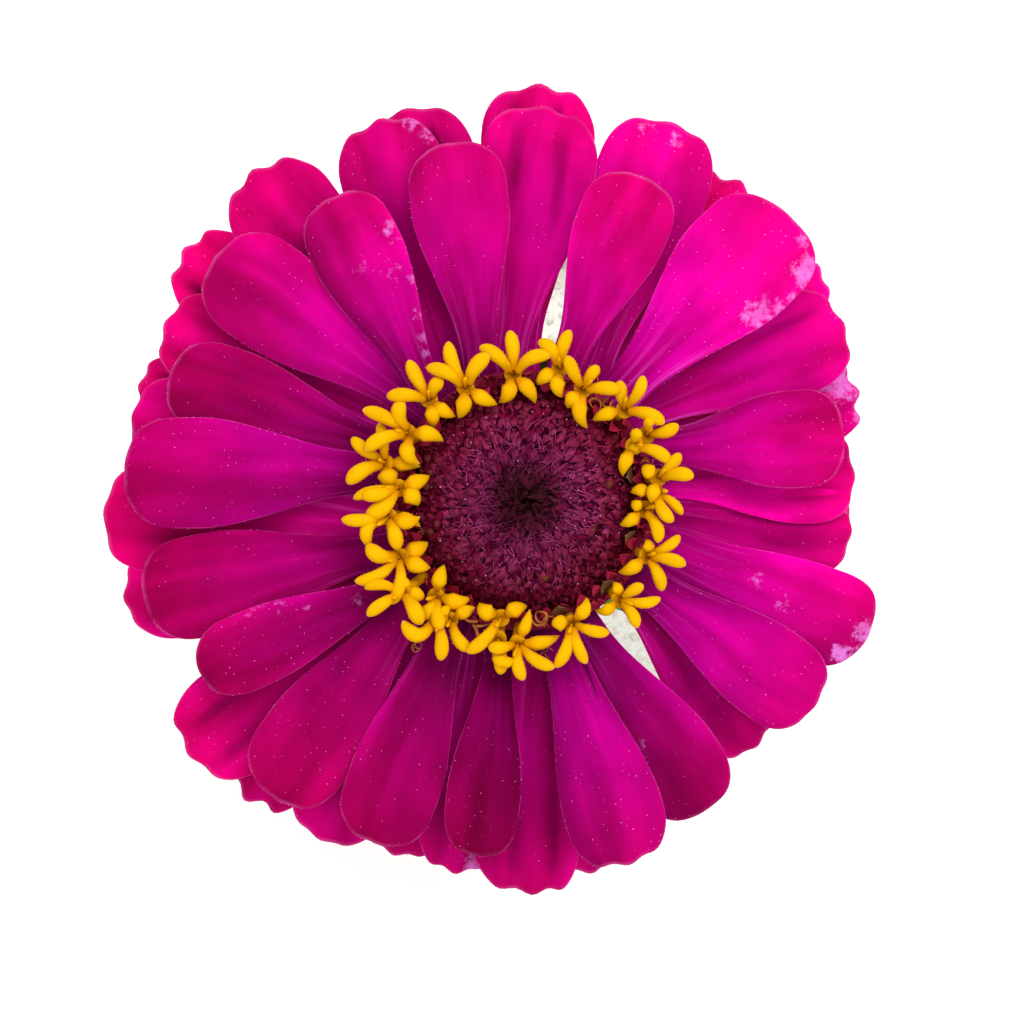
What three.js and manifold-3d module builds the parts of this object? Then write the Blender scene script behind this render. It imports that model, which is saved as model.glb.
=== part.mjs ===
// A zinnia growing in a plain clay pot: one open bloom seen best from straight above, one side bud,
// five pairs of leaves, compost and pot. Lengths are in millimetres and angles in degrees, +Z is up,
// and the origin is on the pot's axis, at the surface that the pot stands on.
import * as THREE from "three";
import { mergeVertices } from "three/addons/utils/BufferGeometryUtils.js";
import Module from "manifold-3d";

const wasm = await Module();
wasm.setup();

// Driving dimensions

const CLEARANCE = 0.3;

const POT = {
  height: 92, rimRadius: 52, rimHeight: 17, rimStep: 4.6, baseRadius: 35.5, mouthRadius: 46,
  wall: 4.6, floor: 6, drainRadius: 6, edge: 1.3, sides: 36,
};
const COMPOST = { level: 80, relief: 0.9, rings: 5, sides: 28 };
const STEM = {
  bottom: 48, rootRadius: 2.9, topRadius: 2.1, neckRadius: 3.2, neckLength: 7,
  nodeSwell: 0.55, nodeLength: 3.2, bow: 2.2, bowAzimuth: 200, sides: 10,
};
// The bloom's centre stands a little off the pot's axis. Its heights are counted from `height`,
// where the rays leave the receptacle.
const BLOOM = { x: 1.4, y: 1.3, height: 232 };

// Leaf pairs, from the compost up. `out` and `in` are the blade's slope at the stem and at its tip.
const LEAF_PAIRS = [
  { height: 98, azimuth: 43, length: 53, width: 24, out: 30, in: -30 },
  { height: 116, azimuth: 170, length: 52, width: 26, out: 40, in: -44 },
  { height: 137, azimuth: 40, length: 53, width: 25, out: 43, in: -52 },
  { height: 160, azimuth: 173, length: 47, width: 21, out: 47, in: -48 },
  { height: 185, azimuth: 37, length: 37, width: 15, out: 50, in: -34 },
];
const LEAF = {
  thickness: 0.8, rows: 7, columns: 4, fold: 0.2, wave: 0.7, tipWidth: 0.5, seat: 0.6,
};

const SHOOT = {
  height: 165, azimuth: 160, slope: 62, length: 24, radius: 1.2, sides: 8,
  leafLength: 17, leafWidth: 7, leafAt: 0.62,
};
const BUD = { radius: 5.6, height: 10.5, bractLength: 4.8, rows: [5, 6] };

const RECEPTACLE = {
  bottom: -16.5, top: -1.6, radius: 13.9, footRadius: 3.4, rings: 6, sides: 24,
};
const BRACT = {
  first: 0.9, last: 0.15, length: 7.4, cut: 0.5, sunk: 0.9, off: 0.2, flare: 0.6,
  cornersEach: 4, rows: [7, 8, 9],
};

const HUB = { inner: 9, outer: 13.9, bottom: -1.3, top: 0.5, sides: 36 };
const RAY = { root: 13, thickness: 0.7, claw: 0.37, tipShare: 0.2, tipRound: 2.4, rows: 5 };
// The three whorls of rays: each leaves at `root` height, climbs by `climb` and droops by `droop`.
const WHORLS = {
  upper: { root: -0.1, climb: 12.4, droop: 9.4 },
  middle: { root: -0.4, climb: 7.0, droop: 7.9 },
  lower: { root: -0.8, climb: 1.6, droop: 6.8 },
};
// Rays, anticlockwise from the right as seen from above: [azimuth of the tip, reach, width,
// sweep of the root, lift, cup of the edges, depth of the tip's notches]
const RAYS = {
  upper: [
    [11.5, 35.4, 10.6, 14, 0.7, 0.7, 0], [46.3, 42.2, 13.5, 1.7, 0.9, 0.7, 0],
    [69.8, 37.4, 10.2, 4.2, 0.5, 0.9, 0], [101.2, 39.6, 10.6, 8.8, 0.8, 1.0, 0],
    [122.5, 39, 10, 13, 0.7, 1.0, 0], [142, 42.8, 11.7, -5, 0.2, 0.8, 0],
    [160.5, 40.9, 9.8, -2, 0.7, 1.1, 0], [176.3, 43.5, 12, -9.3, 1.5, 0.8, 0],
    [194.2, 42.8, 11.2, 6.8, 0.2, 0.8, 0], [208, 39.9, 8.4, 9, 1.4, 1.8, 0],
    [229.5, 42.4, 11, -11, 0.3, 0.8, 0], [246, 40.7, 10.2, -10, 1.2, 0.9, 0],
    [262.5, 38.9, 8, -3, 1.5, 2.0, 0], [286, 41.2, 10.8, -3, 1.2, 0.6, 0.5],
    [300.6, 39.1, 10.4, -7.6, 0.2, 0.9, 0], [324.5, 38.7, 10.3, 1, 1.1, 0.8, 0.3],
    [340, 40.2, 10.6, 1.5, 0.3, 0.9, 0],
  ],
  middle: [
    [4.5, 36.5, 10.6, 4, 0.5, 0.5, 0.3], [29, 40.3, 11.4, 11, 0.4, 0.5, 0.5],
    [68.8, 44.9, 12.7, -7.3, 0.3, 0.5, 0.6], [87, 43.3, 12.9, 14.5, 0.9, 0.6, 0.3],
    [111, 45, 11.7, 12, 0.2, 0.5, 0.4], [129.5, 47.1, 12.3, 10.5, 0.4, 0.5, 0.5],
    [154, 44.3, 10.8, -7, 0.1, 0.5, 0.3], [168, 44.5, 10.6, -2, -0.4, 0.5, 0.3],
    [182, 46.6, 12.3, 15, 0.4, 0.5, 0.5], [216.8, 46.6, 12.3, 4.7, 0.4, 0.6, 0.6],
    [239, 43.8, 10.6, -12, 0.3, 0.5, 0.3], [259.6, 41.9, 9.2, -11, 0.1, 0.5, 0.5],
    [271, 43.6, 11.7, 7, 0.7, 0.5, 0.8], [313.5, 37.3, 9.5, 6, 0.3, 0.5, 0.3],
    [354, 36.3, 10.1, 2, -0.3, 0.5, 0.2],
  ],
  lower: [
    [18, 39.5, 10, 8, 0, 0.3, 0.8], [38.3, 42.2, 10, 6.2, 0.2, 0.3, 0.4],
    [56, 43.2, 10.6, -3, 0, 0.3, 0.6], [87.7, 46.7, 12.6, 6.3, 0.2, 0.3, 0.6],
    [106.7, 46, 12.3, 7.3, -0.4, 0.3, 0.4], [144, 47.6, 11, -0.5, 0.1, 0.3, 0.9],
    [163.5, 45.2, 10, -7, 0, 0.3, 0.4], [193.5, 46.2, 11, 17.5, 0.2, 0.3, 0.5],
    [227, 45.7, 10.6, -6, 0.1, 0.3, 0.6], [250, 42.4, 10, -10, 0, 0.3, 0.4],
    [280, 42.5, 10, -3, 0, 0.3, 0.5],
  ],
};

const CONE = {
  bottom: 0.8, radius: 12.5, wallTop: 2.6, top: 10.2, bulge: 0.75, dimple: 1.6, dimpleRadius: 3,
  scale: 0.9, sides: 36, rings: 10,
};
const FLORET_RING = { inner: 12.9, outer: 14.1, bottom: 2.4, top: 3.5, sides: 40 };
const FLORET = {
  tubeRadius: 0.8, height: 7.1, uneven: 1.6, lobe: 3.9, lobeWidth: 1.7, lobes: 5, arch: 0.9,
  ridge: 0.4,
};
// Open disc florets: [azimuth, distance from the bloom's axis, direction of the first lobe]
const FLORETS = [
  [95.5, 14, 95], [118, 14.1, 112], [75, 14.7, 62], [62, 15, 15], [41, 15.1, 60],
  [30.5, 15.4, 20], [19, 14.5, 340], [8, 14.5, 8], [355.5, 13.6, 330], [337, 14.3, 20],
  [316, 15.2, 0], [291, 14.3, 355], [264, 15.4, 275], [246, 14, 125], [232, 14.6, 60],
  [217, 15.6, 280], [203.5, 14.9, 15], [187, 15.3, 195], [174, 14.2, 5], [158, 14.5, 320],
  [148, 14, 350], [134.5, 15.6, 125],
];

// Shared formulas

const radians = THREE.MathUtils.degToRad;
const smooth = (t) => THREE.MathUtils.smoothstep(t, 0, 1);
// A repeatable number from 0 to 1 for each seed.
const chance = (seed) => {
  const value = Math.sin(seed * 12.9898 + 4.1414) * 43758.5453;
  return value - Math.floor(value);
};
const around = (azimuth, radius, height) =>
  new THREE.Vector3(
    radius * Math.cos(radians(azimuth)),
    radius * Math.sin(radians(azimuth)),
    height,
  );

// Solids: closed geometry to manifold, and back

function solidOf(geometry) {
  const bare = geometry.clone();
  bare.deleteAttribute("normal");
  bare.deleteAttribute("uv");
  const merged = mergeVertices(bare, 1e-4);
  return new wasm.Manifold(
    new wasm.Mesh({
      numProp: 3,
      vertProperties: new Float32Array(merged.attributes.position.array),
      triVerts: new Uint32Array(merged.index.array),
    }),
  );
}

function geometryOf(solid) {
  const { vertProperties, triVerts, numProp } = solid.getMesh();
  const geometry = new THREE.BufferGeometry();
  const positions = new THREE.BufferAttribute(new Float32Array(vertProperties), numProp);
  geometry.setAttribute("position", positions);
  geometry.setIndex(new THREE.BufferAttribute(new Uint32Array(triVerts), 1));
  geometry.computeVertexNormals();
  return geometry;
}

const fuse = (geometries) =>
  geometryOf(geometries.map(solidOf).reduce((whole, piece) => whole.add(piece)));

// Moves each vertex to where `place` says.
function moved(geometry, place) {
  const positions = geometry.attributes.position;
  const point = new THREE.Vector3();
  for (let i = 0; i < positions.count; i++) {
    point.fromBufferAttribute(positions, i);
    positions.setXYZ(i, ...place(point).toArray());
  }
  return geometry;
}

// A lathe about +Z, from [radius, height] pairs that run up the outside.
function turned(profile, sides) {
  const points = profile.map(([radius, height]) => new THREE.Vector2(radius, height));
  return new THREE.LatheGeometry(points, sides).rotateX(Math.PI / 2);
}

function closedMesh(points, index) {
  const geometry = new THREE.BufferGeometry().setFromPoints(points);
  geometry.setIndex(index);
  return geometry;
}

// A closed thin blade. `face(u, v, side)` is the point of its upper face (side 1) or lower face
// (side -1) at u along the blade and v from -1 to 1 across it; both faces are split alike.
function blade(rows, columns, face) {
  const points = [];
  const index = [];
  const at = (side, i, j) => (side * (rows + 1) + i) * (columns + 1) + j;
  const quad = (a, b, c, d) => index.push(a, b, c, a, c, d);
  for (const side of [1, -1]) {
    for (let i = 0; i <= rows; i++) {
      for (let j = 0; j <= columns; j++) {
        points.push(face(i / rows, (2 * j) / columns - 1, side));
      }
    }
  }
  for (let i = 0; i < rows; i++) {
    for (let j = 0; j < columns; j++) {
      quad(at(0, i, j), at(0, i + 1, j), at(0, i + 1, j + 1), at(0, i, j + 1));
      index.push(at(1, i, j), at(1, i + 1, j + 1), at(1, i + 1, j));
      index.push(at(1, i, j), at(1, i, j + 1), at(1, i + 1, j + 1));
    }
    quad(at(1, i, 0), at(1, i + 1, 0), at(0, i + 1, 0), at(0, i, 0));
    quad(at(0, i, columns), at(0, i + 1, columns), at(1, i + 1, columns), at(1, i, columns));
  }
  for (let j = 0; j < columns; j++) {
    quad(at(0, 0, j), at(0, 0, j + 1), at(1, 0, j + 1), at(1, 0, j));
    quad(at(1, rows, j), at(1, rows, j + 1), at(0, rows, j + 1), at(0, rows, j));
  }
  return closedMesh(points, index);
}

// A tapering limb along `path`, with `sides` corners round `radiusAt(t)`, closed at both ends.
function limb(path, steps, sides, radiusAt) {
  const tube = new THREE.CylinderGeometry(1, 1, 1, sides, steps).rotateX(Math.PI / 2);
  const side = new THREE.Vector3();
  const rise = new THREE.Vector3();
  return moved(tube, (p) => {
    const t = p.z + 0.5;
    const along = path.getTangentAt(t);
    side.crossVectors(new THREE.Vector3(0, 1, 0.01), along).normalize();
    rise.crossVectors(along, side);
    return path.getPointAt(t)
      .addScaledVector(side, p.x * radiusAt(t))
      .addScaledVector(rise, p.y * radiusAt(t));
  });
}

// Pot and compost

const innerFoot = POT.baseRadius - POT.wall;
const innerWall = (z) =>
  THREE.MathUtils.mapLinear(z, POT.floor, POT.height, innerFoot, POT.mouthRadius);

function potGeometry() {
  const { height, rimRadius, rimHeight, rimStep, baseRadius, floor, drainRadius, edge } = POT;
  const under = height - rimHeight;
  const profile = [
    [drainRadius, 0], [baseRadius - edge, 0], [baseRadius, edge],
    [rimRadius - rimStep, under], [rimRadius - edge, under], [rimRadius, under + edge],
    [rimRadius, height - edge], [rimRadius - edge, height],
    [POT.mouthRadius + edge, height], [innerWall(height - edge), height - edge],
    [innerWall(floor + edge), floor + edge], [innerFoot - edge, floor], [drainRadius, floor],
    [drainRadius, 0],
  ];
  return turned(profile, POT.sides);
}

// The compost fills the pot and has a plain hole for the stem; its top is uneven.
function compostGeometry() {
  const { level, relief, rings, sides } = COMPOST;
  const bottom = POT.floor + CLEARANCE;
  const hole = STEM.rootRadius + CLEARANCE;
  const holeBottom = STEM.bottom - CLEARANCE;
  const rim = innerWall(level) - CLEARANCE;
  const top = [];
  for (let i = 0; i <= rings; i++) {
    top.push([THREE.MathUtils.lerp(rim, hole, i / rings), level]);
  }
  const profile = [
    [0, bottom], [innerFoot - POT.edge - CLEARANCE, bottom],
    [innerWall(POT.floor + POT.edge) - 2 * CLEARANCE, POT.floor + POT.edge + CLEARANCE],
    ...top, [hole, holeBottom], [0, holeBottom],
  ];
  return moved(turned(profile, sides), (p) => {
    const radius = Math.hypot(p.x, p.y);
    const inside = smooth((radius - hole) / 6) * smooth((rim - radius) / 4);
    const bumps = Math.sin(p.x * 0.31 + 1) * Math.cos(p.y * 0.27) + Math.sin(p.x * p.y * 0.011);
    return p.z > level - 0.01 ? p.setZ(level + relief * inside * bumps) : p;
  });
}

// Stem and leaves

const stemTop = BLOOM.height + RECEPTACLE.bottom - CLEARANCE;
// Where the stem's axis is at a height: it leaves the pot's axis, bows, and ends under the bloom.
function stemAxis(height) {
  const t = THREE.MathUtils.clamp((height - COMPOST.level) / (stemTop - COMPOST.level), 0, 1);
  const bow = STEM.bow * Math.sin(Math.PI * t) ** 2;
  const centre = around(STEM.bowAzimuth, bow, height);
  return centre.add(new THREE.Vector3(BLOOM.x * smooth(t), BLOOM.y * smooth(t), 0));
}

function stemRadius(height) {
  const t = (height - STEM.bottom) / (stemTop - STEM.bottom);
  const taper = THREE.MathUtils.lerp(STEM.rootRadius, STEM.topRadius, smooth(t));
  const near = (node) => Math.exp(-(((height - node.height) / STEM.nodeLength) ** 2));
  const swell = height < COMPOST.level ? 0 : LEAF_PAIRS.reduce((sum, node) => sum + near(node), 0);
  const neck = smooth((height - stemTop + STEM.neckLength) / STEM.neckLength);
  return taper + STEM.nodeSwell * swell + (STEM.neckRadius - STEM.topRadius) * neck;
}

function stemGeometry() {
  const heights = [STEM.bottom, COMPOST.level];
  for (const { height } of LEAF_PAIRS) {
    heights.push(height - STEM.nodeLength, height, height + STEM.nodeLength);
  }
  heights.push(stemTop - STEM.neckLength, stemTop - STEM.neckLength / 2, stemTop);
  const profile = heights.map((height) => [stemRadius(height), height]);
  const whole = [[0, STEM.bottom], ...profile, [0, stemTop]];
  return moved(turned(whole, STEM.sides), (p) => {
    const axis = stemAxis(p.z);
    return p.set(p.x + axis.x, p.y + axis.y, p.z);
  });
}

// Half a leaf's width as a share of the widest: clasping base, oval blade, pointed tip.
const leafOutline = (u) => 1.333 * (0.3 + 2.2 * u) * (1 - u) ** 0.9;

// A blade whose slope turns evenly from `out` to `in`, from `start` in the direction `azimuth`.
function leafBlade(start, leaf, seed, rows, columns) {
  const from = radians(leaf.out);
  const turn = radians(leaf.in) - from;
  const outward = around(leaf.azimuth, 1, 0);
  const across = around(leaf.azimuth + 90, 1, 0);
  return blade(rows, columns, (u, v, side) => {
    const slope = from + turn * u;
    const along = (Math.sin(slope) - Math.sin(from)) * (leaf.length / turn);
    const up = (Math.cos(from) - Math.cos(slope)) * (leaf.length / turn);
    const half = Math.max((leaf.width / 2) * leafOutline(u), LEAF.tipWidth / 2);
    const wave = LEAF.wave * Math.sin(u * 9 + seed * 2 + (v > 0 ? 1.3 : 0)) * v * v * smooth(u * 3);
    const lift = LEAF.fold * Math.abs(v) * half + wave + (side * LEAF.thickness) / 2;
    return new THREE.Vector3()
      .copy(start)
      .addScaledVector(outward, along - lift * Math.sin(slope))
      .addScaledVector(across, v * half)
      .add(new THREE.Vector3(0, 0, up + lift * Math.cos(slope)));
  });
}

function leafGeometry(pair, turnedBy, seed) {
  const leaf = { ...pair, azimuth: pair.azimuth + turnedBy };
  const lean = (LEAF.thickness / 2 + LEAF.seat) * Math.sin(radians(pair.out));
  const out = stemRadius(pair.height) + CLEARANCE + lean;
  const start = stemAxis(pair.height).add(around(leaf.azimuth, out, 0));
  return leafBlade(start, leaf, seed, LEAF.rows, LEAF.columns);
}

// A row of bracts: a cuff round a cup whose free upper edge is cut into rounded scales.
// `radiusAt` is the cup's radius at a height.
function bractRow({ count, low, length, offset }, radiusAt) {
  const { cut, sunk, off, flare, cornersEach } = BRACT;
  const profile = [[1, 0], [2, 0], [2, 0.5], [2, 1], [1, 1], [1, 0]];
  const cuff = turned(profile, count * cornersEach);
  return moved(cuff, (p) => {
    const azimuth = THREE.MathUtils.radToDeg(Math.atan2(p.y, p.x)) + offset;
    const between = Math.abs(Math.sin(radians((azimuth * count) / 2))) ** 3;
    const height = low + p.z * length * (1 - cut * between);
    const outer = Math.hypot(p.x, p.y) > 1.5;
    const radius = radiusAt(height) + (outer ? off + flare * p.z : -sunk);
    return around(azimuth - offset, radius, height);
  });
}

// The cup under the rays: radius at a height counted from the bloom's own level.
function cupRadius(height) {
  const t = (height - RECEPTACLE.bottom) / (RECEPTACLE.top - RECEPTACLE.bottom);
  const spread = Math.sin((Math.PI / 2) * THREE.MathUtils.clamp(t, 0, 1)) ** 0.85;
  return THREE.MathUtils.lerp(RECEPTACLE.footRadius, RECEPTACLE.radius, spread);
}

function involucreGeometry() {
  const { bottom, top, footRadius, rings, sides } = RECEPTACLE;
  const profile = [[0, bottom], [footRadius, bottom]];
  for (let i = 1; i <= rings; i++) {
    const height = THREE.MathUtils.lerp(bottom, top, (i / rings) ** 1.4);
    profile.push([cupRadius(height), height]);
  }
  profile.push([0, top]);
  const pieces = [turned(profile, sides)];
  const { first, last, rows, length } = BRACT;
  rows.forEach((count, row) => {
    const low = THREE.MathUtils.lerp(bottom + first, top - last - length, row / (rows.length - 1));
    pieces.push(bractRow({ count, low, length, offset: (row * 180) / count }, cupRadius));
  });
  return fuse(pieces).translate(BLOOM.x, BLOOM.y, BLOOM.height);
}

// Rays: spoon-shaped blades with a narrow claw, a rounded end and, in the outer whorls, notches

function rayHalfWidth(width, s) {
  return (width / 2) * (RAY.claw + (1 - RAY.claw) * smooth((s - 0.14) / 0.6));
}

function rayEnd(v, notch, length) {
  const round = (1 - Math.abs(v) ** RAY.tipRound) ** (1 / RAY.tipRound);
  const notches = (notch / length) * Math.sin(1.5 * Math.PI * v) ** 2 * (1 - v * v);
  return 1 - RAY.tipShare * (1 - round) - notches;
}

function rayPoint(ray, whorl, u, v, side) {
  const [azimuth, reach, width, sweep, lift, cup, notch] = ray;
  const root = around(azimuth + sweep, RAY.root, 0);
  const tip = around(azimuth, reach, 0);
  const along = tip.clone().sub(root);
  const length = along.length();
  along.normalize();
  const across = new THREE.Vector3(-along.y, along.x, 0);
  const s = u * rayEnd(v, notch, length);
  const climb = whorl.root + whorl.climb * s - whorl.droop * s * s;
  const edges = cup * v * v * smooth(s * 4) * (1 - 0.55 * smooth((s - 0.5) * 2));
  const height = climb + lift * smooth(s * 1.6) + edges + (side * RAY.thickness) / 2;
  return root
    .addScaledVector(along, length * s)
    .addScaledVector(across, v * rayHalfWidth(width, s))
    .setZ(height);
}

function rayFloretsGeometry() {
  const { inner, outer, bottom, top, sides } = HUB;
  const hub = [[inner, bottom], [outer, bottom], [outer, top], [inner, top], [inner, bottom]];
  const pieces = [turned(hub, sides)];
  for (const [name, rays] of Object.entries(RAYS)) {
    for (const ray of rays) {
      pieces.push(blade(RAY.rows, 4, (u, v, side) => rayPoint(ray, WHORLS[name], u, v, side)));
    }
  }
  return fuse(pieces).translate(BLOOM.x, BLOOM.y, BLOOM.height);
}

// Disc: a dome of pointed scales, and a ring of open five-lobed florets round it

function coneGeometry() {
  const { bottom, radius, wallTop, top, bulge, dimple, dimpleRadius, scale, sides, rings } = CONE;
  const profile = [[0, bottom], [radius, bottom], [radius, wallTop]];
  for (let i = 1; i < rings; i++) {
    const out = radius * (1 - i / rings);
    const dome = (top - wallTop) * (1 - (out / radius) ** 2) ** bulge;
    const sunk = dimple * (1 - smooth(out / dimpleRadius));
    profile.push([out, wallTop + dome - sunk]);
  }
  profile.push([0, top - dimple]);
  const dome = turned(profile, sides);
  const step = (2 * Math.PI) / sides;
  const spiky = moved(dome, (p) => {
    const out = Math.hypot(p.x, p.y);
    const ring = Math.round((radius - out) / (radius / rings));
    const spoke = Math.round(Math.atan2(p.y, p.x) / step) + sides;
    const raised = p.z > wallTop + 0.05 && out > 0.1 && (ring + spoke) % 2 === 0;
    return raised ? p.set(p.x * 0.97, p.y * 0.97, p.z + scale) : p;
  });
  return spiky.translate(BLOOM.x, BLOOM.y, BLOOM.height);
}

// One open floret: a five-sided tube that widens into five plump lobes, arched outwards.
function floretGeometry([azimuth, distance, firstLobe], seed) {
  const { tubeRadius, height, lobe, lobeWidth, lobes, arch, ridge } = FLORET;
  const foot = around(azimuth, (FLORET_RING.inner + FLORET_RING.outer) / 2, FLORET_RING.top - 0.5);
  const mouth = around(azimuth, distance, height + FLORET.uneven * (chance(seed) - 0.5));
  const points = [mouth.clone().setZ(mouth.z + 0.2)];
  const index = [];
  const step = 360 / lobes;
  const perLobe = 8;
  const at = (i, k) => 1 + (i % lobes) * perLobe + k;
  for (let i = 0; i < lobes; i++) {
    const heading = firstLobe + i * step + 12 * (chance(seed + i * 7 + 1) - 0.5);
    const length = lobe * (0.88 + 0.24 * chance(seed + i * 5 + 2));
    const on = (share, across, up) =>
      around(heading, share * length, up * arch)
        .add(around(heading + 90, (across * lobeWidth) / 2, 0))
        .add(mouth);
    const corner = firstLobe + (i - 0.5) * step;
    points.push(
      around(corner, tubeRadius, 0).add(mouth),
      on(0.45, -1, 0.75), on(0.8, -0.8, 0.6), on(1, 0, 0.1), on(0.8, 0.8, 0.6), on(0.45, 1, 0.75),
      around(corner, tubeRadius * 0.8, 0).add(foot),
      on(0.55, 0, 1 + ridge / arch),
    );
    const rim = [0, at(i, 0), at(i, 1), at(i, 2), at(i, 3), at(i, 4), at(i, 5), at(i + 1, 0)];
    rim.forEach((corner, k) => index.push(at(i, 7), corner, rim[(k + 1) % rim.length]));
    const [, n, right, rightEnd, tip, leftEnd, left, next] = rim;
    index.push(n, next, left, n, left, right, right, left, leftEnd, right, leftEnd, rightEnd);
    index.push(rightEnd, leftEnd, tip);
    index.push(n, at(i, 6), at(i + 1, 6), n, at(i + 1, 6), next);
  }
  for (let i = 1; i < lobes - 1; i++) index.push(at(0, 6), at(i + 1, 6), at(i, 6));
  return closedMesh(points, index);
}

function discFloretsGeometry() {
  const { inner, outer, bottom, top, sides } = FLORET_RING;
  const ring = [[inner, bottom], [outer, bottom], [outer, top], [inner, top], [inner, bottom]];
  const florets = FLORETS.map((floret, i) => floretGeometry(floret, i * 31));
  return fuse([turned(ring, sides), ...florets]).translate(BLOOM.x, BLOOM.y, BLOOM.height);
}

// The side shoot: a short twig from a leaf's axil, with two small leaves and a closed green bud

function sideShootGeometry() {
  const { height, azimuth, slope, length, radius, sides } = SHOOT;
  const start = stemAxis(height).add(around(azimuth, stemRadius(height) + 2 * CLEARANCE + 1, 0));
  const out = around(azimuth, Math.cos(radians(slope)) * length, Math.sin(radians(slope)) * length);
  const end = start.clone().add(out);
  const bend = start.clone().lerp(end, 0.5).add(around(azimuth, 2.5, -1.5));
  const path = new THREE.QuadraticBezierCurve3(start, bend, end.clone().setZ(end.z + 1.5));
  const pieces = [limb(path, 4, sides, (t) => radius * (1 + 0.25 * t))];
  const leafSize = { length: SHOOT.leafLength, width: SHOOT.leafWidth, out: 52, in: -10 };
  for (const [i, turn] of [85, -95].entries()) {
    const leaf = { ...leafSize, azimuth: azimuth + turn };
    pieces.push(leafBlade(path.getPointAt(SHOOT.leafAt), leaf, 7 + i, 4, 2));
  }
  return fuse([...pieces, ...budPieces(path.getPointAt(1))]);
}

// Radius of the bud at a share of its height.
const budRadius = (t) => BUD.radius * Math.sin(Math.PI * (0.06 + 0.86 * t ** 0.85)) ** 0.7;

function budPieces(foot) {
  const profile = [[0, -0.4], ...[0, 0.15, 0.3, 0.45, 0.6, 0.75, 0.88, 1].map((t) => [
    budRadius(t), t * BUD.height,
  ]), [0, BUD.height]];
  const pieces = [turned(profile, 12)];
  const radiusAt = (height) => budRadius(THREE.MathUtils.clamp(height / BUD.height, 0, 1));
  BUD.rows.forEach((count, row) => {
    const bracts = { count, low: 0.7 + row * 2.6, length: BUD.bractLength, offset: row * 20 };
    pieces.push(bractRow(bracts, radiusAt));
  });
  return pieces.map((piece) => piece.translate(foot.x, foot.y, foot.z));
}

// Assembly

const finish = (colour, roughness) =>
  new THREE.MeshStandardMaterial({ color: colour, roughness, metalness: 0 });
const clay = finish(0xb5623c, 0.85);
const compost = finish(0x33241a, 0.95);
const stemGreen = finish(0x6f9140, 0.6);
const leafGreen = finish(0x3f7a2c, 0.6);
const bractGreen = finish(0x5d8238, 0.65);
const rayMagenta = finish(0xc8007e, 0.55);
const discMaroon = finish(0x5a0d33, 0.75);
const floretYellow = finish(0xf7c200, 0.5);

const zinnia = new THREE.Group();
function add(name, geometry, material) {
  const mesh = new THREE.Mesh(geometry, material);
  mesh.name = name;
  zinnia.add(mesh);
}

add("pot", potGeometry(), clay);
add("compost", compostGeometry(), compost);
add("stem", stemGeometry(), stemGreen);
LEAF_PAIRS.forEach((pair, level) => {
  for (const [side, turnedBy] of [["a", 0], ["b", 180]]) {
    const seed = level * 2 + (turnedBy ? 1 : 0);
    add(`leaf_${level + 1}${side}`, leafGeometry(pair, turnedBy, seed), leafGreen);
  }
});
add("side_shoot", sideShootGeometry(), bractGreen);
add("involucre", involucreGeometry(), bractGreen);
add("ray_florets", rayFloretsGeometry(), rayMagenta);
add("disc_cone", coneGeometry(), discMaroon);
add("disc_florets", discFloretsGeometry(), floretYellow);

export default zinnia;
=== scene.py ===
import math
import random

import bmesh
import bpy
import numpy as np
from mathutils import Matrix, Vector


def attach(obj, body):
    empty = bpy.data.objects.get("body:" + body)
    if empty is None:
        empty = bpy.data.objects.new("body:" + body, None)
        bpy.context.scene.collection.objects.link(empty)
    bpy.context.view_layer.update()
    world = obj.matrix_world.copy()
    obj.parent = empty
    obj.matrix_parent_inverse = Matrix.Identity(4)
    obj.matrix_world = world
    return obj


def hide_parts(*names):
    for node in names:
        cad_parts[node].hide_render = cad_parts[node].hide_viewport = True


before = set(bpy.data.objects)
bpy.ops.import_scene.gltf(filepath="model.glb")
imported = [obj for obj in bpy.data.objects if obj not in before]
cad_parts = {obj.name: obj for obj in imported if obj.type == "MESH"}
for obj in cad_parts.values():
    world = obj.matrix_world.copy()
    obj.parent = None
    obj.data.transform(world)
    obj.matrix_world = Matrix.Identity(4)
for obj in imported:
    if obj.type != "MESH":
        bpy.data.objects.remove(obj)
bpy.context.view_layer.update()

MM = 0.001
CLEARANCE = 0.3

# Camera: straight above the pot's axis. The frame is this wide at the level of the bloom.
CAMERA = {"height": 532.0, "frame_at_bloom": 112.64, "sensor": 36.0}
# Light and floor, with the sizes and places in metres
LIGHT = {"surroundings": 1.25, "panel_power": 7.0, "panel_size": 0.7, "panel_at": (0.35, 0.55, 1.15)}
FLOOR_HALF = 2.5

# Sizes that the solids also have

POT = {
    "height": 92, "rim_radius": 52, "rim_height": 17, "rim_step": 4.6, "base_radius": 35.5,
    "mouth_radius": 46, "wall": 4.6, "floor": 6, "drain_radius": 6,
}
COMPOST_LEVEL = 80
STEM = {
    "bottom": 48, "root_radius": 2.9, "top_radius": 2.1, "neck_radius": 3.2, "neck_length": 7,
    "node_swell": 0.55, "node_length": 3.2, "bow": 2.2, "bow_azimuth": 200,
}
BLOOM = {"x": 1.4, "y": 1.3, "height": 232}
BLOOM_PLACE = tuple(BLOOM.values())
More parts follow.
